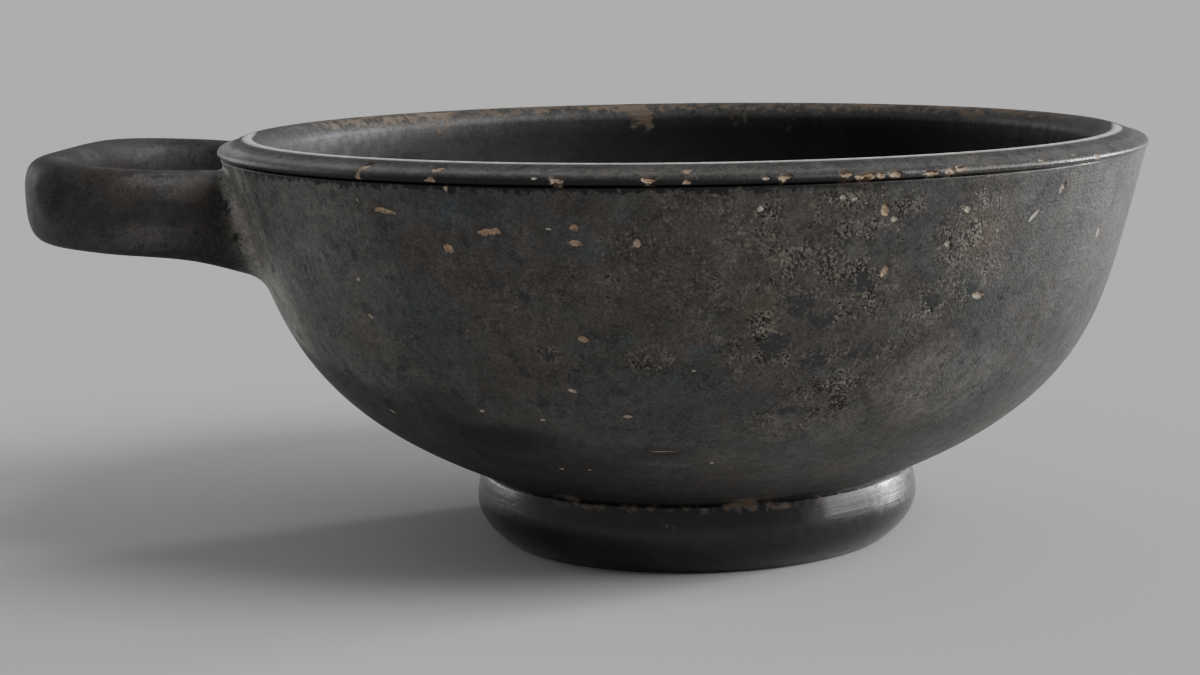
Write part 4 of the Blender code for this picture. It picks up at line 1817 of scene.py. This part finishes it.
    def coordinates(self, mesh: bmesh.types.BMesh) -> np.ndarray:
        """The places of a mesh's vertices, one a row."""
        return np.array([tuple(vert.co) for vert in mesh.verts])

    def move(self, mesh: bmesh.types.BMesh, places: np.ndarray) -> None:
        """Puts a mesh's vertices at the given places."""
        for vert, place in zip(mesh.verts, places.tolist()):
            vert.co = place

    def refine(self, mesh: bmesh.types.BMesh, chips: list[tuple[Spot, Chip]],
               flaked: list[tuple[Spot, Patch]]) -> None:
        """Divides the mesh finely round the chips, and less finely on the flaked and the dark patches.

        Args:
            mesh: The upright mesh, changed in place.
            chips: The chips and their places.
            flaked: The flaked and the dark patches, the handle's painted shade among them, and their places.
        """
        for level, margin in enumerate(self.refine_margins):
            settled = self.settling.apply(self.coordinates(mesh))
            chosen = np.zeros(len(settled), dtype=bool)
            for spot, chip in chips:
                chosen |= self.chip_shape(spot, chip, settled, margin) < 1.0
            if level < self.flaked_rounds:
                for spot, patch in flaked:
                    chosen |= self.patch_strength(spot, patch, settled) > self.flaked_edge
            mesh.verts.index_update()
            edges = [edge for edge in mesh.edges if all(chosen[vert.index] for vert in edge.verts)]
            bmesh.ops.subdivide_edges(mesh, edges=edges, cuts=1, use_grid_fill=True)

    def patch_strength(self, spot: Spot, patch: Patch, points: np.ndarray) -> np.ndarray:
        """The strength of a patch at points of the settled bowl, from 0 to 1.

        Args:
            spot: The patch's place.
            patch: The patch.
            points: The points, one a row.

        Returns:
            The strength at each point.
        """
        along, across, off = spot.turned(points, patch.turn)
        share = np.hypot(along / (patch.width * MM), across / (patch.height * MM))
        deepest = np.maximum(self.body.wall * self.patch_depth, self.patch_bend * np.hypot(along, across))
        return np.where(np.abs(off) < deepest, 1.0 - smooth_step(share, self.patch_core, 1.0), 0.0)

    def on_turned_part(self, points: np.ndarray) -> np.ndarray:
        """True for upright points that lie clear of the handle and its fillets.

        Args:
            points: The points, one a row.

        Returns:
            True or false for each point.
        """
        reach = self.handle.spread / 2 + self.handle.thickness + self.root_fillet
        low = self.body.height - self.handle.height * self.handle_depths
        near_handle = (points[:, 0] < 0) & (np.abs(points[:, 1]) < reach) & (points[:, 2] > low)
        inner = self.body.rim_radius - self.body.wall * self.wall_depths
        return ~(near_handle & (np.hypot(points[:, 0], points[:, 1]) > inner))

    def azimuth(self, points: np.ndarray) -> np.ndarray:
        """The angle of upright points round the axis in degrees: 0 faces the camera, 90 is +X."""
        return np.degrees(np.arctan2(points[:, 0], -points[:, 1]))

    def groove_share(self, points: np.ndarray) -> np.ndarray:
        """How much of the groove under the lip is left at upright points, from 0 to 1."""
        angle = self.azimuth(points)
        return 1.0 - self.wear.groove_lost.at(angle) * (1.0 - self.wear.groove_back.at(angle))

    def relief(self, points: np.ndarray) -> np.ndarray:
        """Upright points moved by what the potter's hand left uneven.

        Args:
            points: Points of the upright bowl, one a row.

        Returns:
            The moved points.
        """
        body = self.body
        radius = np.hypot(points[:, 0], points[:, 1])
        height = points[:, 2]
        outside = radius > body.rim_radius - body.lip_crest
        low, high = body.wall_top - self.fill_below, body.edge_height + self.fill_above
        band = outside & (height < high) & (height > low)
        wall_radius = body.rim_radius - body.groove_depth - self.fill_below * math.tan(body.flare_angle)
        straight = np.interp(height, (low, high), (wall_radius, body.rim_radius - self.fill_round))
        filled = np.maximum(straight - radius, 0.0) * (1.0 - self.groove_share(points))
        free = self.on_turned_part(points)
        outward = np.where(band & free, filled, 0.0)
        waves = np.array([noise.noise(Vector((x, y, z * self.wobble_squeeze)) * self.wobble_scale)
                          for x, y, z in points.tolist()])
        fade = smooth_step(height, 0.0, body.foot_bulge_height)
        fade *= smooth_step(height, body.height, body.wall_top)
        outward += np.where(free, waves * self.wobble * fade, 0.0)
        scale = 1.0 + outward / np.maximum(radius, body.wall)
        return np.stack([points[:, 0] * scale, points[:, 1] * scale, height], axis=1)

    def carve(self, points: np.ndarray, normals: np.ndarray, chips: list[tuple[Spot, Chip]],
              layers: dict[Layer, np.ndarray]) -> np.ndarray:
        """Cuts the chips into the settled surface, and notes how far inside a chip each point is.

        Args:
            points: Points of the settled bowl, one a row.
            normals: Their normals.
            chips: The chips and their places.
            layers: The layers' strengths, of which those of the chips are changed in place.

        Returns:
            The moved points.
        """
        breakage = self.breakage
        moved = points.copy()
        layers[Layer.CHIP][:] = -1.0
        for number, (spot, chip) in enumerate(chips):
            near = np.flatnonzero(self.chip_shape(spot, chip, points, self.chip_margin) < 1.0)
            if not len(near):
                continue
            seed = Vector([number * step for step in breakage.seed_step])
            uneven = np.array([noise.fractal(Vector(place) / MM * breakage.scale + seed, breakage.fall,
                                             breakage.gain, breakage.rounds)
                               for place in points[near].tolist()])
            inward = 1.0 - self.chip_shape(spot, chip, points[near], 0.0) + breakage.ragged * uneven
            sunk = breakage.side.at(inward) * (1.0 + breakage.bed * uneven)
            moved[near] -= normals[near] * (sunk * chip.depth * MM)[:, None]
            # How high up the chip each point lies; it places the painted shadow under the chip's upper edge.
            turn = math.radians(chip.turn)
            extent = math.hypot(chip.length * math.sin(turn), chip.width * math.cos(turn)) * MM / 2
            rise = spot.flat(points[near])[1] / extent
            closer = inward > layers[Layer.CHIP][near]
            mine = near[closer]
            layers[Layer.CHIP][mine] = inward[closer]
            layers[Layer.RISE][mine] = np.clip(rise[closer], -breakage.rise_limit, breakage.rise_limit)
            layers[Layer.PALE][mine] = chip.pale
        return moved

    def zones(self, points: np.ndarray, layers: dict[Layer, np.ndarray]) -> None:
        """Sets the layers that follow the bowl's form: edges, groove, foot, inside, and the painted crest
        highlight, lip shade and flank sheen.

        Args:
            points: Points of the upright bowl, one a row.
            layers: The layers' strengths, changed in place.
        """
        body, wear = self.body, self.wear
        radius = np.hypot(points[:, 0], points[:, 1])
        height = points[:, 2]
        angle = self.azimuth(points)
        crest_radius = body.rim_radius - body.lip_crest
        on_wall = self.wall_side(points)
        on_handle = radius > body.rim_radius + body.groove_depth
        proud = radius - body.middle_radius(height) - body.wall / 2
        handle = np.where(on_wall, wear.handle.at(proud), 0.0)
        back = wear.back.at(np.abs(angle))

        below_crest = (radius > crest_radius) & on_wall & ~on_handle
        layers[Layer.DROP] = np.where(below_crest, (body.height - height) / MM, FAR_WAY)
        # The way from the crest places the painted crest highlight, which ends towards the back.
        from_crest = np.abs(radius - crest_radius) / MM + wear.crest_highlight_end.at(np.abs(angle))
        layers[Layer.CREST] = np.where(height > body.height - body.lip_drop, from_crest, FAR_WAY)
        # The painted shade under the lip: lost towards the right except at the back, and weaker on the far
        # left.
        lost = wear.lip_shade_lost.at(angle) * (1.0 - wear.groove_back.at(angle))
        layers[Layer.LIP_SHADE] = (1.0 - lost) * (1.0 - wear.lip_shade_lost_left.at(-angle))

        foot = wear.foot.at(height, body.foot_height)
        low_wall = wear.low_wall.at(height, body.foot_height) * (1.0 - wear.low_wall_right.at(points[:, 0]))
        low_left = wear.low_left.at(height + points[:, 0] * wear.low_left_slope)
        low_left *= wear.low_left_reach.at(points[:, 0])
        outside = np.where(on_wall & ~on_handle, np.maximum(low_wall, low_left), 0.0)
        inside = np.where(on_wall, 0.0, wear.inside.at(height, body.height))
        inside *= wear.inside_gloss + wear.inside_right.at(points[:, 0])
        layers[Layer.GLOSS_AND_SHADE] = np.maximum.reduce([foot, outside, inside, handle * wear.handle_gloss])

        from_edge = height - (body.foot_height - wear.foot_edge_drop)
        on_edge = on_wall & (np.abs(radius - body.foot_top_radius) < wear.foot_edge_reach)
        foot_edge = np.where(on_edge, np.exp(-(from_edge / wear.foot_edge_width) ** 2), 0.0)
        far_lip = back * smooth_step(height, body.edge_height, body.height - wear.far_lip_top)
        far_lip = np.where(on_handle, 0.0, wear.far_lip_wear * far_lip)
        layers[Layer.WORN] = np.maximum(wear.foot_edge_wear * foot_edge, far_lip)

        # Grey film and painted sheen on the flanks, most along the left limb and faded at the back.
        flank_film_and_sheen = wear.film_and_sheen_right.at(angle) + wear.film_and_sheen_left.at(-angle) + wear.film_and_sheen_far_left.at(-angle)
        flank_film_and_sheen *= 1.0 - wear.film_and_sheen_back.at(np.abs(angle))
        # A lighter band on the lip's top at the front: partly a grey film, partly painted light from above.
        lip_top = smooth_step(height, body.edge_height, body.edge_height + body.lip_edge) * (1.0 - back)
        lip_top *= wear.lip_film_and_sheen + wear.lip_film_and_sheen_left.at(-angle)
        layers[Layer.FILM_AND_SHEEN] = np.where(on_wall, np.maximum(flank_film_and_sheen, lip_top), 0.0) * (1.0 - handle)

    def wall_side(self, points: np.ndarray) -> np.ndarray:
        """True for upright points on the outside of the bowl, the handle and the foot included."""
        radius = np.hypot(points[:, 0], points[:, 1])
        low = points[:, 2] < self.body.recess + self.body.floor / 2
        return (radius > self.body.middle_radius(points[:, 2])) | low

    def build(self) -> bpy.types.Object:
        """Makes the bowl, with its place in its mesh.

        Returns:
            The finished piece.
        """
        mesh = self.joined()
        upright = self.coordinates(mesh)
        self.settling.centre(upright)
        settled = self.settling.apply(upright)
        corners = [[vert.index for vert in face.verts] for face in mesh.faces]
        tree = BVHTree.FromPolygons(settled.tolist(), corners)
        chips = [(self.photo_spot(tree, chip.x, chip.y), chip) for chip in CHIPS] + self.scattered(tree)
        patches = [(self.photo_spot(tree, patch.x, patch.y), patch) for patch in PATCHES]
        # Flaked and dark patches, the handle's painted shade among them, are refined as well.
        flaked = [pair for pair in patches
                  if pair[1].layer in (Layer.FLAKED, Layer.DARK) and pair[1].strength > self.flaked_floor]
        self.refine(mesh, chips, flaked)

        upright = self.coordinates(mesh)
        free = self.on_turned_part(upright)
        upright[free] = self.body.snapped(upright[free])
        upright = self.relief(upright)
        settled = self.settling.apply(upright)
        self.move(mesh, settled)
        mesh.normal_update()
        normals = np.array([tuple(vert.normal) for vert in mesh.verts])

        layers = {layer: np.zeros(len(upright)) for layer in Layer}
        self.zones(upright, layers)
        for spot, patch in patches:
            strength = self.patch_strength(spot, patch, settled) * patch.strength
            layers[patch.layer] = np.maximum(layers[patch.layer], strength)
        self.move(mesh, self.carve(settled, normals, chips, layers))

        piece = self.object_of(mesh, "black_gloss_bowl")
        piece.data.shade_smooth()
        for layer, strength in layers.items():
            attribute = piece.data.attributes.new(layer.value, 'FLOAT', 'POINT')
            attribute.data.foreach_set("value", strength.astype(np.float32))
        piece.data.materials.append(gloss_material(self.finish))
        return piece

    def dress(self) -> bpy.types.Object:
        """Makes the bowl, hangs it on its body and hides the part that it replaces.

        Returns:
            The finished piece.
        """
        piece = self.build()
        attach(piece, BODY)
        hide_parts(NODE)
        return piece


@dataclass(frozen=True)
class FarLight:
    """A wide light from far off, which reaches all of the floor evenly.

    Its bearing is the angle from the bowl's front towards its right, and its width the angle
    that it fills, in degrees.
    """

    name: str
    bearing: float
    elevation: float
    power: float
    width: float
    colour: tuple[float, float, float] = (1.0, 1.0, 1.0)

    def build(self, target: Vector) -> bpy.types.Object:
        """Makes the light and turns it to the target.

        Args:
            target: The point that it looks at.

        Returns:
            The light's object.
        """
        data = bpy.data.lights.new(self.name, 'SUN')
        data.energy = self.power
        data.angle = math.radians(self.width)
        data.color = self.colour
        bearing, elevation = math.radians(self.bearing), math.radians(self.elevation)
        level = math.cos(elevation)
        way = Vector((math.sin(bearing) * level, -math.cos(bearing) * level, math.sin(elevation)))
        lamp = bpy.data.objects.new(data.name, data)
        turn = (-way).to_track_quat('-Z', 'Y')
        lamp.matrix_world = Matrix.Translation(target + way) @ turn.to_matrix().to_4x4()
        lamp.visible_camera = False
        bpy.context.scene.collection.objects.link(lamp)
        return lamp


@dataclass
class Studio:
    """The plain pale floor and the soft light."""

    floor_reach: float = 60.0
    floor_drop: float = 0.00005
    floor_steps: int = 64
    floor_rough: float = 0.9
    floor_shine: float = 0.1
    floor_colour: tuple[float, float, float, float] = (0.60, 0.595, 0.58, 1.0)
    air_colour: tuple[float, float, float, float] = (0.62, 0.64, 0.66, 1.0)
    air_strength: float = 0.46
    lamps: tuple[FarLight, ...] = (
        FarLight("key_light", 66.0, 40.0, 1.9, 30.0),
        FarLight("right_window", 121.0, 4.0, 3.4, 9.0, (0.94, 0.97, 1.0)),
        FarLight("right_fill", 96.0, 4.0, 2.9, 50.0),
        FarLight("left_light", -122.0, 9.0, 0.7, 34.0),
    )

    def build_floor(self) -> bpy.types.Object:
        """Makes the floor that the bowl stands on.

        Returns:
            The floor's object.
        """
        mesh = bmesh.new()
        bmesh.ops.create_circle(mesh, cap_ends=True, segments=self.floor_steps, radius=self.floor_reach)
        bmesh.ops.translate(mesh, verts=mesh.verts, vec=(0.0, 0.0, -self.floor_drop))
        data = bpy.data.meshes.new("floor")
        mesh.to_mesh(data)
        mesh.free()
        floor = bpy.data.objects.new("floor", data)
        bpy.context.scene.collection.objects.link(floor)
        material = bpy.data.materials.new("pale_floor")
        material.use_nodes = True
        shader = material.node_tree.nodes["Principled BSDF"]
        shader.inputs["Base Color"].default_value = self.floor_colour
        shader.inputs["Roughness"].default_value = self.floor_rough
        shader.inputs["Specular IOR Level"].default_value = self.floor_shine
        data.materials.append(material)
        return floor

    def build_air(self) -> None:
        """Lights the whole scene softly and evenly."""
        world = bpy.data.worlds.new("studio_air")
        world.use_nodes = True
        background = world.node_tree.nodes["Background"]
        background.inputs["Color"].default_value = self.air_colour
        background.inputs["Strength"].default_value = self.air_strength
        bpy.context.scene.world = world

    def build(self, target: Vector) -> None:
        """Makes the floor, the lamps and the light of the air.

        Args:
            target: The point that the lamps look at.
        """
        self.build_floor()
        self.build_air()
        for lamp in self.lamps:
            lamp.build(target)


def main() -> None:
    """Builds the camera, the studio and the bowl."""
    logging.basicConfig(level=logging.INFO, format="%(name)s: %(message)s")
    camera = PhotoCamera()
    camera.build()
    low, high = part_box(NODE)
    middle = (Vector(low) + Vector(high)) / 2
    Studio().build(middle)
    bowl = Bowl(camera).dress()
    LOG.info("%s has %d faces", bowl.name, len(bowl.data.polygons))


if __name__ == "__main__":
    main()
